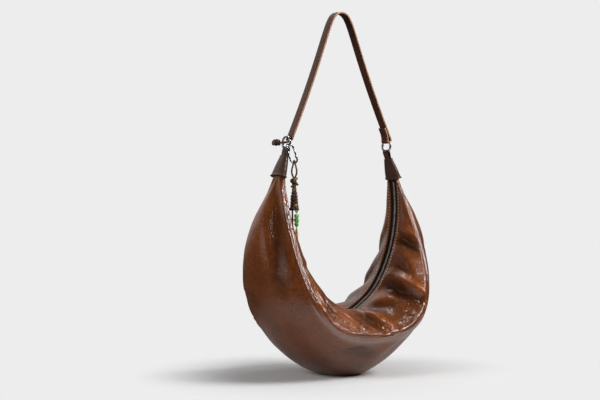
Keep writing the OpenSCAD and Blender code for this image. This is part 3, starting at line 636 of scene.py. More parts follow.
# %% Folds of the outer panel
ALONG = 261
OUTER_ACROSS = 65
SEAM_CALM = 14
GATHER_FROM = 0.86
PLEATS = 5.5
PLEAT_DEPTH = 0.7
LEFTWARD = (-0.8, 0.6, 0)
# Each fold: its stops, width and depth in mm, then its shoulder's share and side
OUTER_FOLDS = (
    (((-0.97, -0.34), (-0.87, -0.4), (-0.79, -0.42), (-0.7, -0.4), (-0.61, -0.34)),
     9, 4.6, 0.2, LEFTWARD),
    (((-0.21, -0.58), (-0.12, -0.68), (0.02, -0.62)), 7, 4.0),
    (((0.1, -0.5), (0.2, -0.62), (0.34, -0.72)), 10, 2.4),
    (((0.62, -0.3), (0.75, -0.42), (0.86, -0.55)), 11, 2.4),
    (((0.4, 0.45), (0.52, 0.5), (0.66, 0.6)), 11, 3.0),
    (((-0.4, 0.5), (-0.5, 0.6), (-0.62, 0.7)), 11, 3.0),
    (((0.86, 0.3), (0.75, 0.2), (0.6, 0.15)), 10, 1.8))
a, w = np.meshgrid(np.linspace(-1, 1, ALONG), np.linspace(-1, 1, OUTER_ACROSS), indexing="ij")
outer = outer_point(a, w)
out = normals_towards(outer, OUTER_ACROSS // 2, (0, 0, -1))
off_seam = np.minimum(far_from(outer, 0), far_from(outer, -1))
inside = np.clip(off_seam / SEAM_CALM, 0, 1)
gather = np.clip((np.abs(a) - GATHER_FROM) / (1 - GATHER_FROM), 0, 1) ** 1.5
folded = PLEAT_DEPTH * gather * np.cos(w * PLEATS * math.pi) * inside
for lines in OUTER_FOLDS:
    folded += fold(outer, outer_point, *lines) * inside
print("the outer panel's folds reach", round(float(np.abs(folded).max()), 1), "mm")

# %% Outer panel
GROUND_CALM = 6
OFF_GROUND = 0.05
# Folds this deep get the full painted shade in their valleys and the full rub on their ridges
SHADE_AND_WEAR_DEPTH = 4
low = np.clip(1 - outer[..., 2] / GROUND_CALM, 0, 1)
move = folded + (0.6 * slow_noise(outer, 60, 3) + 0.25 * slow_noise(outer, 17, 8)) * inside
roll, ridge = seam_roll(off_seam, 0.8, 2.4)
move = move * (1 - low) + roll + ridge * (1 - low)
outer = outer + out * move[..., None]
outer[..., 2] = np.maximum(outer[..., 2], OFF_GROUND)
laid = {"outer": outer}
# Each point's fold depth goes along for painted shade in the valleys and rubbed wear on the
# ridges
outer_leather = lay_grid("outer_leather", outer, outward=(0, 0, -1),
                         wear=np.clip(folded / SHADE_AND_WEAR_DEPTH, -1, 1), polish=burnished(off_seam))
finish_with(outer_leather, "SOLIDIFY", thickness=LEATHER * MM, offset=-1, use_even_offset=False)
dress(outer_leather, body_leather, "bag", "outer_panel")

# %% [markdown]
# ## Front and back panels
# These two crescents carry the deepest folds: the bag is empty, so they fall in under
# the zip. The folds are placed where the photograph shows them, and the hidden back has
# its own. A negative depth is a ridge.

# %% Crescents
PANEL_ACROSS = 41
EDGE_CALM = 9


def denser_at_ends(n, pull=0.6):
    u = np.linspace(0, 1, n)
    return u * (1 - pull) + pull * (0.5 - 0.5 * np.cos(math.pi * u))


def crescent(name, side, folds):
    back = side == "back"
    outward = (0, 1 if back else -1, 0)
    a, t = np.meshgrid(np.linspace(-1, 1, ALONG), denser_at_ends(PANEL_ACROSS), indexing="ij")
    points = panel_point(a, t, back)
    out = normals_towards(points, PANEL_ACROSS // 2, outward)
    off_seam = far_from(points, 0)
    off_zip = far_from(points, -1)
    inside = np.clip(off_seam / EDGE_CALM, 0, 1) * np.clip(off_zip / EDGE_CALM, 0, 1)
    folded = 1.6 * slow_noise(points, 34, 5 + back) * inside
    for lines in folds:
        folded += fold(points, lambda x, y: panel_point(x, y, back), *lines) * inside
    move = folded + 0.8 * slow_noise(points, 13, 9 + back) * inside
    move += sum(seam_roll(off_seam, 1.0, 2.6))
    laid[side] = points + out * move[..., None]
    # Each point's fold depth goes along for painted shade in the valleys and rubbed wear on the
    # ridges
    piece = lay_grid(name, laid[side], outward=outward,
                     wear=np.clip(folded / SHADE_AND_WEAR_DEPTH, -1, 1), polish=burnished(off_seam))
    finish_with(piece, "SOLIDIFY", thickness=LEATHER * MM, offset=-1)
    return piece


# %% Front and back panels
front_leather = crescent("front_leather", "front", (
    (((0.765, 0.9), (0.775, 0.48), (0.785, 0.05)), 6, 6.5),
    (((0.515, 0.85), (0.51, 0.53), (0.54, 0.03)), 7.5, 9.0),
    (((-0.03, 0.55), (0.015, 0.31), (0.11, 0.03)), 7, 6.0),
    (((-0.54, 0.35), (-0.47, 0.17), (-0.42, 0.04)), 6, 4.0),
    (((0.2, 0.75), (0.3, 0.6), (0.42, 0.4)), 9, 3.5),
    (((-0.365, 0.42), (-0.265, 0.27), (-0.16, 0.1)), 6.5, -4.0, 0.3),
    (((0.66, 0.85), (0.62, 0.5)), 6, 2.5),
    (((-0.72, 0.3), (-0.6, 0.8)), 6, 2.0)))
dress(front_leather, body_leather, "bag", "front_panel")
back_leather = crescent("back_leather", "back", (
    (((0.62, 0.85), (0.55, 0.5), (0.5, 0.1)), 8, 5.0),
    (((0.78, 0.8), (0.74, 0.4), (0.74, 0.1)), 7, 3.0),
    (((0.4, 0.85), (0.32, 0.5), (0.25, 0.1)), 8, 4.5),
    (((-0.55, 0.75), (-0.5, 0.4), (-0.5, 0.1)), 8, 4.5),
    (((0.1, 0.7), (0.02, 0.4), (-0.1, 0.1)), 9, 4.0),
    (((-0.3, 0.6), (-0.27, 0.4), (-0.25, 0.1)), 8, 3.0)))
dress(back_leather, body_leather, "bag", "back_panel")

# %% [markdown]
# ## Cloth
# The lining is a plain dark cloth, and the tapes of the zip are woven ribbons, ribbed
# across. Two waves over the UV map, one each way, give the threads and the gaps between
# them, and they raise the threads as well.

# %% Woven cloth
def woven(name, thread, gap, along, across):
    look, tree, shader = nodes_of(name, Roughness=0.85, Specular_IOR_Level=0.2)
    place = node(tree, "UVMap")
    weft, warp = [
        node(tree, "TexWave", bands_direction=way, Vector=place, Scale=scale).outputs["Fac"]
        for way, scale in (("Y", along), ("X", across))]
    cross = node(tree, "Math", operation="MULTIPLY", Slot0=weft, Slot1=warp)
    feed(shader, Base_Color=ramp(tree, cross, gap, thread),
         Normal=bump(tree, cross, 0.6, 0.0004))
    print(name, len(tree.nodes), "nodes")
    return look


lining_cloth = woven("lining_cloth", (0.05, 0.035, 0.028), (0.02, 0.014, 0.012), 260, 120)
tape_cloth = woven("tape_cloth", (0.05, 0.026, 0.019), (0.015, 0.008, 0.006), 170, 5)

# %% [markdown]
# ## Lining
# A bag of cloth hangs just inside the leather. It is laid on points a little below the
# three panels, from the front panel round the bottom to the back panel, and it ends
# before the horns.

# %% Lining
LINING_DEPTH = 3.4
LINED_ROWS = slice(16, 245, 2)


def sunk(side, columns, across, way):
    points = laid[side]
    out = normals_towards(points, across, way)
    return (points - out * LINING_DEPTH)[LINED_ROWS, columns]


bag_inside = np.concatenate([
    sunk("front", slice(36, 2, -4), PANEL_ACROSS // 2, (0, -1, 0)),
    sunk("outer", slice(4, 62, 2), OUTER_ACROSS // 2, (0, 0, -1)),
    sunk("back", slice(4, 37, 4), PANEL_ACROSS // 2, (0, 1, 0))], 1)
cloth_inside = lay_grid("cloth_inside", bag_inside, outward=(0, 0, -1))
finish_with(cloth_inside, "SOLIDIFY", thickness=0.5 * MM, offset=-1)
dress(cloth_inside, lining_cloth, "bag", "lining")

# %% [markdown]
# ## Zip tapes
# Each tape runs from under a panel's edge to its row of teeth. Four lines of points are
# enough across it: two under the leather, one half way, and one beside the teeth.

# %% Zip tapes
TAPE_RISE = 0.35
TAPE_OFF = 1.8
TAPE_DROP = 1.7
TUCKED_COLUMN = -7


def tape(name, side, stands_for):
    panel = laid[side]
    a = np.linspace(-1, 1, len(panel))
    s = zip_run(np.abs(a))
    middle = zip_at(s) + zip_up(s) * TAPE_RISE
    askew = to_side(a) * s
    off = TAPE_OFF * np.sqrt(1 + zip_slope(askew) ** 2) * (1 if side == "back" else -1)
    near = np.stack([to_side(a) * middle[:, 0], zip_aside(askew) + off, middle[:, 1]], -1)
    drop = np.stack([to_side(a) * zip_up(s)[:, 0], 0 * a, zip_up(s)[:, 1]], -1) * TAPE_DROP
    lip = panel[:, -1] - drop
    rows = [panel[:, TUCKED_COLUMN] - drop, lip, near * 0.5 + lip * 0.5, near]
    piece = lay_grid(name, np.stack(rows, 1), outward=(0, 0, 1))
    finish_with(piece, "SOLIDIFY", thickness=0.6 * MM, offset=-1)
    dress(piece, tape_cloth, "bag", stands_for)


tape("woven_tape_front", "front", "zip_tape_front")
tape("woven_tape_back", "back", "zip_tape_back")

# %% [markdown]
# ## Metal
# The rings and the carabiner are polished steel, the teeth are a duller grey metal. Fine
# scratches in the roughness keep them from looking like mirrors.

# %% Metal finishes
def metal(name, colour, rough, metallic):
    look, tree, shader, wear = mottled(name, [c * 0.75 for c in colour], colour, 650.0, 5.0,
                                       Metallic=metallic)
    feed(shader, Roughness=node(tree, "MapRange", Value=wear, To_Min=rough,
                                To_Max=rough + 0.12))
    print(name, len(tree.nodes), "nodes")
    return look


steel = metal("polished_steel", (0.72, 0.71, 0.69), 0.1, 1.0)
tooth_metal = metal("tooth_metal", (0.8, 0.78, 0.76), 0.22, 0.6)

# %% [markdown]
# ## Copying a small shape
# A zip has hundreds of teeth and stitches, and a braid has many strands. Each is
# modelled once, its points are kept, and they are placed again and again in one mesh.
# Linked copies would be lighter, but this way each copy is a mesh of its own and can
# follow the curve. Blender makes a sphere's faces in an order that changes from run to
# run, so they are sorted first.

# %% Copies
def kept_shape(piece):
    points = np.array([v.co[:] for v in piece.data.vertices])
    faces = sorted(p.vertices[:] for p in piece.data.polygons)
    bpy.data.objects.remove(piece)
    return points, faces


def posed(points, centre, x, y, z):
    return centre + points[:, :1] * x + points[:, 1:2] * y + points[:, 2:] * z


def smooth_below(piece, degrees):
    activate(piece)
    bpy.ops.object.shade_smooth_by_angle(angle=math.radians(degrees))


def copies(name, placed, faces):
    step = len(placed[0])
    every = [tuple(i + k * step for i in face) for k in range(len(placed)) for face in faces]
    mesh = bpy.data.meshes.new(name)
    mesh.from_pydata(np.concatenate(placed).tolist(), [], every)
    piece = bpy.data.objects.new(name, mesh)
    bpy.context.scene.collection.objects.link(piece)
    smooth_below(piece, 35)
    print(name, len(placed), "copies,", len(every), "faces")
    return piece


# %% [markdown]
# ## Zip teeth
# A tooth is a small block, narrower at its head, clamped on the tape's edge. It is a
# cube with its head drawn in and its edges bevelled. The two rows mesh like fingers, so
# the back row is half a pitch ahead.

# %% One tooth
TOOTH_PITCH = 2.5
TOOTH_SIZE = (1.1 * MM, 2.0 * MM, 2.1 * MM)
TOOTH_BACK = 0.45 * MM
HEAD_SHARES = (0.7, 0.62)
deselect()
bpy.ops.mesh.primitive_cube_add(size=1, location=(0, 0, 0))
tooth = settle("one_tooth")
edit_mesh(lambda: bpy.ops.transform.resize(value=TOOTH_SIZE),
          lambda: bpy.ops.transform.translate(value=(0, TOOTH_BACK, 0)))
for vertex in tooth.data.vertices:
    if vertex.co.y < 0:
        vertex.co.x *= HEAD_SHARES[0]
        vertex.co.z *= HEAD_SHARES[1]
finish_with(tooth, "BEVEL", width=0.25 * MM, segments=1)
tooth_points, tooth_faces = kept_shape(tooth)
print("one tooth has", len(tooth_faces), "faces")

# %% Two rows of teeth
SLIDER_AT = 36 - zip_length
CHAIN_END = zip_length - 11


def on_zip(s, points):
    run = np.array(abs(s))
    angle = float(zip_angle(run))
    x, z = zip_at(run)
    side = -1.0 if s < 0 else 1.0
    level = np.array([math.cos(angle), 0, side * math.sin(angle)])
    up = np.array([-side * math.sin(angle), 0, math.cos(angle)])
    turn = math.atan(float(zip_slope(np.array(s))))
    along = level * math.cos(turn) + np.array([0, math.sin(turn), 0])
    centre = np.array([side * x, float(zip_aside(np.array(s))), z]) * MM
    return posed(points, centre, along, np.cross(up, along), up)


count = int((CHAIN_END - SLIDER_AT) / TOOTH_PITCH)
for name, side, start, row in (("teeth_front", -1, 0.5, "zip_teeth_front"),
                               ("teeth_back", 1, 1.0, "zip_teeth_back")):
    shape = tooth_points * np.array([1, side, 1])
    faces = tooth_faces if side > 0 else [f[::-1] for f in tooth_faces]
    placed = [on_zip(SLIDER_AT + (k + start) * TOOTH_PITCH, shape) for k in range(count)]
    dress(copies(name, placed, faces), tooth_metal, "bag", row)

# %% [markdown]
# ## Stitches
# A row of stitches holds each tape under its panel, close to the panel's edge. One
# stitch is a short rounded thread that dips at both ends. The row follows the panel as
# it was laid, folds and all, so every stitch sits on the leather.

# %% One stitch
thread = mottled("waxed_thread", (0.55, 0.38, 0.25), (0.9, 0.72, 0.52), 900.0, 2.0,
                 Roughness=0.55)[0]
deselect()
bpy.ops.mesh.primitive_uv_sphere_add(segments=8, ring_count=6, radius=1)
stitch = settle("one_stitch")
for vertex in stitch.data.vertices:
    x, y, z = vertex.co
    vertex.co = (x * 1.05 * MM, y * 0.7 * MM, (z * 0.7 - 0.3 * x * x) * MM)
stitch_points, stitch_faces = kept_shape(stitch)
print("one stitch has", len(stitch_faces), "faces")

# %% Stitches beside the zip
STITCH_PITCH = 4.0
STITCH_IN = 3.2
STITCH_PROUD = 0.3


def run_of(line):
    steps = np.linalg.norm(np.diff(line, axis=0), axis=1)
    return np.concatenate([[0], np.cumsum(steps)])


def at_run(s, run, table):
    return np.stack([np.interp(s, run, table[:, k]) for k in range(3)], -1)


def stitch_row(line, outs):
    run = run_of(line)
    placed = []
    for s in np.arange(STITCH_PITCH, run[-1] - STITCH_PITCH, STITCH_PITCH):
        at = at_run(s, run, line)
        x = unit(at_run(s + 0.5, run, line) - at)
        y = unit(np.cross(unit(at_run(s, run, outs)), x))
        placed.append(posed(stitch_points, at * MM, x, y, np.cross(x, y)))
    return placed


stitches = []
for side in ("front", "back"):
    panel = laid[side]
    outs = normals_towards(panel, -1, (0, 0, 1))[:, -1]
    line = panel[:, -1] + unit(panel[:, -4] - panel[:, -1]) * STITCH_IN + outs * STITCH_PROUD
    stitches += stitch_row(line[4:-4], outs[4:-4])
dress(copies("zip_stitches", stitches, stitch_faces), thread, "bag")

# %% [markdown]
# ## Polishing a construction piece
# Small hardware is right in shape already but has sharp edges. A copy of the node is
# merged, its flat faces are joined, and a narrow bevel rounds its edges, as a polishing
# wheel does.

# %% Polished hardware
def polished(name, cad, look, body, width):
    piece = bpy.data.objects.new(name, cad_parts[cad].data.copy())
    bpy.context.scene.collection.objects.link(piece)
    activate(piece)
    edit_mesh(merge, lambda: bpy.ops.mesh.dissolve_limited(angle_limit=math.radians(1)))
    finish_with(piece, "BEVEL", width=width * MM, segments=2, limit_method="ANGLE",
                angle_limit=math.radians(40), use_clamp_overlap=True)
    smooth_below(piece, 40)
    print(name, len(piece.data.polygons), "faces")
    dress(piece, look, body, cad)


polished("slider_polished", "zip_slider", steel, "slider", 0.2)
polished("pull_polished", "zip_pull", steel, "pull", 0.2)
polished("stops_polished", "zip_stops", tooth_metal, "bag", 0.2)
polished("carabiner_polished", "carabiner_body", steel, "carabiner", 0.08)
polished("gate_polished", "carabiner_gate", steel, "gate", 0.06)
polished("pin_polished", "carabiner_pin", steel, "carabiner", 0.06)

# %% [markdown]
# ## Rings
# Each ring is a plain torus of bent and welded steel rod. It moves with the strap.

# %% Rings
RING_X = 79.0
RING_Z = 283.0
RING_R = 7.5
RING_WIRE = 1.4
RING_ROOM = 0.3
for name, side in (("left_ring", -1), ("right_ring", 1)):
    deselect()
    bpy.ops.mesh.primitive_torus_add(major_segments=96, minor_segments=24,
                                     major_radius=RING_R * MM, minor_radius=RING_WIRE * MM,
                                     location=(side * RING_X * MM, 0, RING_Z * MM),
                                     rotation=(0, math.pi / 2, 0))
    ring = settle(name + "_steel")
    bpy.ops.object.shade_smooth()
    dress(ring, steel, "strap", name)
    print(ring.name, len(ring.data.polygons), "faces")

# %% [markdown]
# ## Caps
# A cap is a leather sleeve, wider at its foot, with a seam along its front and back
# edge and a rolled hem. It could be lofted by hand from a few rings. Here each ring is
# a rounded rectangle, because the gathered horn in it has that section.

# %% Shape of a cap
CAP_FOOT = 0.982
CAP_ROOM = 3.6
CAP_WALL = 1.5
CAP_SHORT = 9
CAP_TOP = (6.4, 11.7)


def ring_of(width, depth, count, power):
    angle = np.linspace(0, 2 * math.pi, count)
    c, s = np.cos(angle), np.sin(angle)
    x = width / 2 * np.sign(c) * np.abs(c) ** (2 / power)
    y = depth / 2 * np.sign(s) * np.abs(s) ** (2 / power)
    return x, y


foot_out = outer_edge(CAP_FOOT)[1]
foot_run = np.array(zip_run(CAP_FOOT))
foot_in = zip_at(foot_run) + zip_up(foot_run) * ZIP_LIP
cap_foot = (foot_out + foot_in) / 2
lower_wire = np.array([RING_X, RING_Z - RING_R])
cap_way = lower_wire - cap_foot
cap_up = cap_way / np.hypot(*cap_way)
cap_across = np.array([cap_up[1], -cap_up[0]])
cap_long = np.hypot(*cap_way) - CAP_SHORT
foot_t = np.hypot(*(foot_out - foot_in)) + CAP_ROOM
foot_w = 2 * (float(depth_at(CAP_FOOT)) + CAP_WALL)
top_t, top_w = CAP_TOP
print("cap", round(cap_long, 1), "mm long, foot", round(foot_w, 1), "by", round(foot_t, 1))


# %% Caps
def cap_shape(side):
    rows = []
    for share in np.linspace(0, 1, 25):
        bulge = math.sin(math.pi * share)
        # The hem at the foot, the lip at the top and the sewn edges stand out a little
        hem = 0.9 * math.exp(-((share - 0.03) / 0.035) ** 2)
        lip = 0.35 * math.exp(-((share - 1) / 0.03) ** 2)
        wide = foot_w + (top_w - foot_w) * share + 1.0 * bulge
        thick = foot_t + (top_t - foot_t) * share + 0.8 * bulge
        x, y = ring_of(thick + 2 * hem + 2 * lip, wide + 2 * hem + 2 * lip, 49, 3.0)
        seam = 0.55 * np.exp(-((np.abs(y) - wide / 2) / 0.9) ** 2)
        y = y + np.sign(y) * seam
        centre = cap_foot + cap_up * cap_long * share
        rows.append(np.stack([side * (centre[0] + cap_across[0] * x), y,
                              centre[1] + cap_across[1] * x], -1))
    return np.array(rows)


for name, side in (("left_cap", -1), ("right_cap", 1)):
    sleeve = lay_grid(name + "_leather", cap_shape(side), closed=True)
    middle = np.mean([v.co[:] for v in sleeve.data.vertices], axis=0)
    face = sleeve.data.polygons[100]
    if (np.array(face.center) - middle) @ np.array(face.normal) < 0:
        sleeve.data.flip_normals()
    finish_with(sleeve, "SOLIDIFY", thickness=1.0 * MM, offset=-1)
    dress(sleeve, dark_leather, "bag", name)

# %% [markdown]
# ## Tabs
# A tab is one strip of leather folded round the ring and caught in the cap. The strip
# is bent like a hairpin: up one side, round the wire, and down the other side.

# %% Tabs
TAB_HALF_W = 3.75
TAB_FOOT = 0.75
TAB_SHORT = 2
tab_r = RING_WIRE + RING_ROOM + 1.4 / 2
tab_long = CAP_SHORT + cap_long / 3


def tab_leg(side, shares):
    return [(side * (TAB_FOOT + (tab_r - TAB_FOOT) * share),
             -tab_long + (tab_long - TAB_SHORT) * share) for share in shares]


def tab_shape(side):
    bend = [(tab_r * math.cos(math.radians(q)), tab_r * math.sin(math.radians(q)))
            for q in np.linspace(180, 0, 17)]
    y = np.linspace(-TAB_HALF_W, TAB_HALF_W, 9)
    rows = []
    for x, z in tab_leg(-1, np.linspace(0, 1, 10)) + bend + tab_leg(1, np.linspace(1, 0, 10)):
        centre = lower_wire + cap_across * x + cap_up * z
        rows.append(np.stack([0 * y + side * centre[0], y, 0 * y + centre[1]], -1))
    return np.array(rows)


for name, side in (("left_tab", -1), ("right_tab", 1)):
    strip = lay_grid(name + "_leather", tab_shape(side))
    finish_with(strip, "SOLIDIFY", thickness=1.3 * MM, offset=0)
    finish_with(strip, "BEVEL", width=0.25 * MM, segments=2, limit_method="ANGLE",
                angle_limit=math.radians(50))
    dress(strip, dark_leather, "bag", name)

# %% [markdown]
# ## Strap
# The strap is two layers of leather sewn together with painted edges, stiff enough to
# stand in an arch. At the right it goes round the ring and lies back on itself. Its
# section is swept along the middle line. The faces are dark, the edges are tan.

# %% Middle line of the strap
STRAP_T = 2.6
STRAP_W = 12.5
LEAN = 2.5
STRAP_TOP = 446 - STRAP_T / 2
SHOULDER = np.array([15, 417.0])
LAYER_STEP = 1.02 * STRAP_T
upper_wire = np.array([RING_X, RING_Z + RING_R])
turn_r = RING_WIRE + RING_ROOM + STRAP_T / 2
fall_way = upper_wire - (SHOULDER + [LEAN, 0])
lean_by = math.asin(turn_r / np.hypot(*fall_way))
fall_way = fall_way / np.hypot(*fall_way)
fold_dir = (fall_way * math.cos(lean_by)
            + np.array([-fall_way[1], fall_way[0]]) * math.sin(lean_by))
fold_out = np.array([-fold_dir[1], fold_dir[0]])
right_end = upper_wire + fold_out * turn_r
left_end = np.array([RING_X - RING_WIRE - RING_ROOM - STRAP_T, RING_Z + RING_R * 0.45])


def strap_line(end, lean):
    return np.array([[lean, STRAP_TOP], [lean + 20, STRAP_TOP], SHOULDER + [lean, 0], end])


def second_layer(u):
    return right_end - fold_dir * u - fold_out * LAYER_STEP


left = curve(strap_line(left_end, -LEAN), np.linspace(1, 0, 60)) * np.array([-1, 1])
right = curve(strap_line(right_end, LEAN), np.linspace(0, 1, 60))[1:]
turn = [upper_wire + turn_r * (fold_out * math.cos(q) + fold_dir * math.sin(q))
        for q in np.linspace(0, math.pi, 14)[1:]]
flap = [turn[-1] + (second_layer(u) - turn[-1]) * u / 9 for u in np.linspace(1.5, 9, 6)]
flap += [second_layer(u) for u in (11.0, 13.0, 15.0, 16.8)]
strap_mid = np.concatenate([left, right, turn, flap])
print("strap", round(float(np.linalg.norm(np.diff(strap_mid, axis=0), axis=1).sum())), "mm long")


# %% Strap
EDGE_FACING = 0.35


def swept_band(name, line, width, thick, power, stands_for, look, edge_look):
    way = unit(np.gradient(line, axis=0))
    x, y = ring_of(thick, width, 41, power)
    rows = [np.stack([p[0] - w[1] * x, y, p[1] + w[0] * x], -1) for p, w in zip(line, way)]
    piece = lay_grid(name, np.array(rows), closed=True, capped=True)
    dress(piece, look, "strap", stands_for)
    piece.data.materials.append(edge_look)
    for face in piece.data.polygons:
        if abs(face.normal.y) > EDGE_FACING:
            face.material_index = 1


swept_band("strap_leather_band", strap_mid, STRAP_W, STRAP_T, 5.0, "strap", band_leather,
           edge_paint)

# %% [markdown]
# ## Tongue
# At the left the strap ends in a narrow tongue of one layer. It bends down and passes
# through the ring, and the same sweep makes it.

# %% Tongue
left_dir = unit(left_end - (SHOULDER - [LEAN, 0]))
start = left_end + left_dir * 0.15
tongue_line = np.array([start, start + left_dir * 2.2, [RING_X, RING_Z], [RING_X + 10.5, RING_Z]])
tongue_mid = curve(tongue_line, np.linspace(0, 1, 24)) * np.array([-1, 1])
swept_band("strap_tongue_band", tongue_mid, 5.0, 2.6, 3.0, "strap_tongue", dark_leather,
           dark_leather)

# %% [markdown]
# ## Knot on the tongue
# A knot of leather stops the tongue behind the ring. Three turns lie side by side round
# a core, the middle one the largest, each of them a closed tube along a wavy circle.

# %% Tubes
FULL_TURN = np.linspace(0, 2 * math.pi, 33)[:, None]


def circle(centre, radius, first, second):
    return centre + radius * (np.cos(FULL_TURN) * first + np.sin(FULL_TURN) * second)


def tube(points, radius, sides=12):
    points = np.asarray(points, float)
    way = unit(np.gradient(points, axis=0))
    angle = np.linspace(0, 2 * math.pi, sides + 1)[:, None]
    up = unit(np.cross(way[0], [0.3, 1.0, 0.2]))
    rows = []
    for p, d, r in zip(points, way, np.broadcast_to(radius, len(points))):
        up = unit(up - d * (up @ d))
        rows.append(p + r * (np.cos(angle) * up + np.sin(angle) * np.cross(d, up)))
    return np.array(rows)


def closed_tube(name, points, radius, sides, look=None, capped=True):
    piece = lay_grid(name, tube(points, radius, sides), closed=True, capped=capped)
    if look:
        piece.data.materials.append(look)
    return piece


def joined(name, pieces):
    deselect()
    for piece in pieces:
        piece.select_set(True)
    bpy.context.view_layer.objects.active = pieces[0]
    bpy.ops.object.join()
    piece = bpy.context.object
    piece.name = name
    piece.data.name = name
    return piece


def box_of(name):
    low, high = (np.array(corner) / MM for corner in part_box(name))
    return low, high, (low + high) / 2


# %% Leather knot
low, high, knot_c = box_of("strap_knot")
rolled = []
for k, x in enumerate(np.linspace(low[0] + 1.7, high[0] - 0.6, 3)):
    line = circle(np.array([x, *knot_c[1:]]), 2.7 if k == 1 else 2.2, [0, 1, 0], [0, 0, 1])
    line = line + np.sin(FULL_TURN + k) * np.array([0.8, 0, 0])
    rolled.append(closed_tube("knot_turn_%d" % k, line, 1.6, 12, capped=False))
core_line = [[x, *knot_c[1:]] for x in (low[0] + 0.6, knot_c[0], high[0] - 0.3)]
core = closed_tube("knot_core", core_line, 2.0, 16)
dress(joined("leather_knot", rolled + [core]), dark_leather, "strap", "strap_knot")

# %% [markdown]
# ## Charm finishes
# A cord charm hangs in the carabiner: a loop of gold and black cord, a knot, a stack of
# braided turns, a short black cord, a carved green leaf and a cream tail. Cords have
# slanting bands over their UV map, which stand for their twist. The strands of the
# braid have no UV map, so their two tones are mottled, as those of the stones are.

# %% Cords and stones
def cord_look(name, first, second, scale):
    look, tree, shader = nodes_of(name, Roughness=0.6)
    wave = node(tree, "TexWave", bands_direction="DIAGONAL", Vector=node(tree, "UVMap"),
                Scale=scale).outputs["Fac"]
    feed(shader, Base_Color=ramp(tree, wave, first, second, 0.35, 0.65),
         Normal=bump(tree, wave, 0.7, 0.0004))
    print(name, len(tree.nodes), "nodes")
    return look


def stone(name, light, dark, scale, rough):
    look = mottled(name, dark, light, scale, 4.0, 0.35, 0.65, Roughness=rough,
                   Subsurface_Weight=0.15, Subsurface_Radius=(0.002, 0.002, 0.001))[0]
    print(name, len(look.node_tree.nodes), "nodes")
    return look


gold_cord = cord_look("gold_black_cord", (0.05, 0.033, 0.015), (0.42, 0.27, 0.1), 14.0)
brown_cord = cord_look("brown_cord", (0.02, 0.012, 0.009), (0.12, 0.066, 0.045), 20.0)
black_cord = cord_look("black_cord", (0.006, 0.005, 0.005), (0.02, 0.018, 0.016), 16.0)
jade = stone("green_stone", (0.34, 0.72, 0.2), (0.13, 0.42, 0.07), 300.0, 0.25)
gold_strand = stone("gold_strand", (0.55, 0.36, 0.16), (0.16, 0.09, 0.04), 700.0, 0.5)
brown_strand = stone("brown_strand", (0.2, 0.105, 0.075), (0.035, 0.02, 0.016), 700.0, 0.55)
cream = stone("cream_bead", (0.75, 0.52, 0.27), (0.5, 0.3, 0.13), 220.0, 0.4)

# %% [markdown]
# ## Cord loop
# The loop goes up from the knot, over the carabiner's bend and down again. Its legs bow
# apart and turn a little round each other. The cord is two plies, gold and black, wound
# round the loop's line, as a rope maker lays them.

# %% Line of the loop
loop_high = box_of("charm_loop")[1]
knot_low, knot_high, knot_c = box_of("charm_knot")
charm_x, charm_y = knot_c[:2]
CORD_R = 1.1
LOOP_HALF_W = 1.15 + CORD_R + 0.3
LOOP_TURN = 73
bend_z = loop_high[2] - CORD_R - LOOP_HALF_W
foot_z = knot_high[2]


def loop_leg(side, t):
    turned = math.radians(LOOP_TURN + 68 * (1 - t))
    bow = 2.3 * math.sin(math.pi * t) * (1 - 0.4 * t)
    apart = side * (0.9 + (LOOP_HALF_W - 0.9) * t + bow)
    return (charm_x + apart * math.cos(turned), charm_y + apart * math.sin(turned),
            foot_z - 1 + (bend_z - foot_z + 1) * t)


def loop_bend(q):
    apart, turned = LOOP_HALF_W * math.cos(q), math.radians(LOOP_TURN)
    return (charm_x + apart * math.cos(turned), charm_y + apart * math.sin(turned),
            bend_z + LOOP_HALF_W * math.sin(q))


loop_path = np.array([loop_leg(1, t) for t in np.linspace(0, 1, 17)[:-1]]
                     + [loop_bend(q) for q in np.linspace(0, math.pi, 18)]
                     + [loop_leg(-1, t) for t in np.linspace(1, 0, 17)[1:]])
run = run_of(loop_path)
print("the loop's line is", round(run[-1]), "mm long")

# %% Two plies
PLY_R = 0.75
PLY_LAY = 4.2
way = unit(np.gradient(loop_path, axis=0))
flat_out = unit(np.cross(way, [1.0, -0.3, 0]))
third = np.cross(way, flat_out)
fine = np.linspace(0, run[-1], 150)
for k, look in enumerate((gold_cord, black_cord)):
    q = (run / PLY_LAY * 2 * math.pi + k * math.pi)[:, None]
    wound = loop_path + 0.5 * (np.cos(q) * flat_out + np.sin(q) * third)
    ply = closed_tube("ply_%d" % k, at_run(fine, run, wound), PLY_R, 8)
    dress(ply, look, "charm", "charm_loop")

# %% [markdown]
# ## Cord knot
# The knot is read as five turns of cord, tilted against each other round a core. Each
# turn has its tilt, its height and its radius, and brown and gold turns alternate.

# %% Cord knot
knot_tall = knot_high[2] - knot_low[2]
windings = []
for k, (tilt, z, r) in enumerate(((0.45, -0.24, 3.2), (-0.5, -0.02, 3.9), (0.6, 0.2, 3.3),
                                  (-0.7, 0.02, 3.4), (0.15, 0.3, 2.6))):
    line = circle(knot_c, r, [1, 0, tilt], [0, 1, -0.5 * tilt]) + [0, 0, z * knot_tall]
    windings.append(closed_tube("winding_%d" % k, line, 1.3, 10,
                                brown_cord if k % 2 else gold_cord, capped=False))
half_core = np.array([0, 0, knot_tall * 0.46])
inner = closed_tube("knot_inner", [knot_c - half_core, knot_c, knot_c + half_core],
                    [1.8, 3.2, 1.8], 16, brown_cord)
dress(joined("cord_knot", windings + [inner]), None, "charm", "charm_knot")

# %% [markdown]
# ## Braided stack
# The stack widens downwards. It is seven levels of five short strands, and each level
# leans the other way, so the strands cross like a plait. Every fifth strand is gold. A
# core fills the middle, and a small link at its foot carries the leaf.

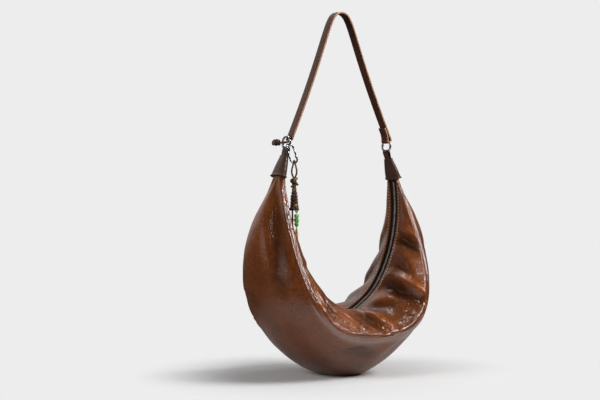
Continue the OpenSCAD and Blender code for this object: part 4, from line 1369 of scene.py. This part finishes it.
# %% Strands of the braid
BRAID_LONG = 26.0
LEVELS = 7
AROUND = 5
FOOT_R = 6.1
HEAD_R = 3.2
deselect()
bpy.ops.mesh.primitive_uv_sphere_add(segments=12, ring_count=8, radius=1)
strand_points, strand_faces = kept_shape(settle("one_strand"))
braid_low, braid_high, _ = box_of("charm_braid")
braid_foot = braid_high[2] - BRAID_LONG


def strand(level, m):
    share = (level + 0.5) / LEVELS
    r = FOOT_R + (HEAD_R - FOOT_R) * share - 1.7 + 0.3 * math.sin(5.0 * level)
    lean = 0.5 if level % 2 else -0.5
    q = (m + 0.5 * (level % 2)) * 2 * math.pi / AROUND + 0.25 * math.sin(3.0 * level)
    outward = np.array([math.cos(q), math.sin(q), 0])
    flat = np.array([-math.sin(q), math.cos(q), 0])
    along = flat * math.cos(lean) + np.array([0, 0, math.sin(lean)])
    middle = np.array([charm_x, charm_y, braid_foot + BRAID_LONG * share]) + outward * r
    half = 1.15 * math.pi * r / AROUND + 0.6
    return posed(strand_points * [half, 1.75, 1.7], middle, along, outward,
                 np.cross(outward, along)) * MM


stacks = {"braid_dark": [], "braid_gold": []}
for level in range(LEVELS):
    for m in range(AROUND):
        gold = (2 * level + m) % 5 == 0
        stacks["braid_gold" if gold else "braid_dark"].append(strand(level, m))
stack = [copies(name, placed, strand_faces) for name, placed in stacks.items()]
stack[0].data.materials.append(brown_strand)
stack[1].data.materials.append(gold_strand)

# %% Core, link and cord
cord_low, cord_high, cord_c = box_of("charm_cord")
leaf_low, leaf_high, leaf_c = box_of("charm_leaf")
core_line = [[charm_x, charm_y, z] for z in (braid_foot + 0.2, braid_foot + 13,
                                             braid_high[2] + 1.2)]
inner = closed_tube("braid_inner", core_line, [4.4, 3.3, 2.4], 16, brown_cord)
link_c = np.array([leaf_c[0], charm_y, braid_low[2] + 1.6 + 0.5])
link = closed_tube("small_link", circle(link_c, 1.6, [0, 1, 0], [0, 0, 1]), 0.5, 10,
                   black_cord, capped=False)
dress(joined("cord_braid", stack + [inner, link]), None, "charm", "charm_braid")
cord_line = [[cord_c[0] + 0.4 * math.sin(3 * t), charm_y,
              cord_high[2] + (cord_low[2] - cord_high[2]) * t] for t in np.linspace(0, 1, 30)]
dress(closed_tube("hanging_cord", cord_line, 1.05, 12), black_cord, "charm", "charm_cord")

# %% [markdown]
# ## Leaf and tail
# The green leaf is a small carving: three swellings, grooved all round, on an eye that
# hangs in the link. The cream tail below it is turned, with fine ribs. Both are rings
# of points of changing radius, as on a lathe.

# %% Leaf
LEAF_HALF_W = 3.6
EYE_R = 1.6


def level_ring(centre, radius, flat, z, angle):
    return np.stack([centre[0] + radius * np.cos(angle),
                     centre[1] + flat * radius * np.sin(angle), 0 * angle + z], -1)


leaf_top = leaf_high[2] - EYE_R - 1.0
leaf_tall = leaf_top - leaf_low[2]
angle = np.linspace(0, 2 * math.pi, 61)
rows = []
for t in np.linspace(0, 1, 60):
    wave = 0.62 + 0.38 * abs(math.sin(math.pi * (t * 3 + 0.02)))
    end = math.sin(math.pi * t) ** 0.35
    wide = LEAF_HALF_W * (0.4 + 0.6 * wave) * end * (1 - 0.25 * t) + 0.02
    groove = 1 - 0.1 * np.cos(6 * angle) + 0.14 * np.sin(20 * t + 2 * angle)
    rows.append(level_ring(leaf_c, wide * groove, 0.8, leaf_top - leaf_tall * t, angle))
leaf_body = lay_grid("leaf_body", np.array(rows), closed=True, capped=True)
eye = closed_tube("leaf_eye", circle(np.array([*leaf_c[:2], leaf_high[2] - 0.5]), EYE_R,
                                     [1, 0, 0], [0, 1, 0]), 0.48, 10, capped=False)
dress(joined("carved_leaf", [leaf_body, eye]), jade, "leaf", "charm_leaf")

# %% Tail
# Radius in mm at each share of the height
TAIL_OUTLINE = ((0.02, 0), (1.2, 0.01), (1.75, 0.12), (2.1, 0.32), (1.9, 0.55), (1.5, 0.75),
                (1.2, 0.9), (0.7, 0.98), (0.02, 1.0))
tail_low, tail_high, tail_c = box_of("charm_tail")
tail_tall = tail_high[2] - tail_low[2]
shares = np.linspace(0, 1, 50)
radii = np.interp(shares, [p[1] for p in TAIL_OUTLINE], [p[0] for p in TAIL_OUTLINE])
angle = FULL_TURN[:, 0]
ribs = 1 + 0.05 * np.cos(8 * angle)
rows = [level_ring(tail_c, r * ribs, 1.0, tail_low[2] + tail_tall * t, angle)
        for t, r in zip(shares, radii)]
dress(lay_grid("cream_tail", np.array(rows), closed=True, capped=True), cream, "leaf",
      "charm_tail")
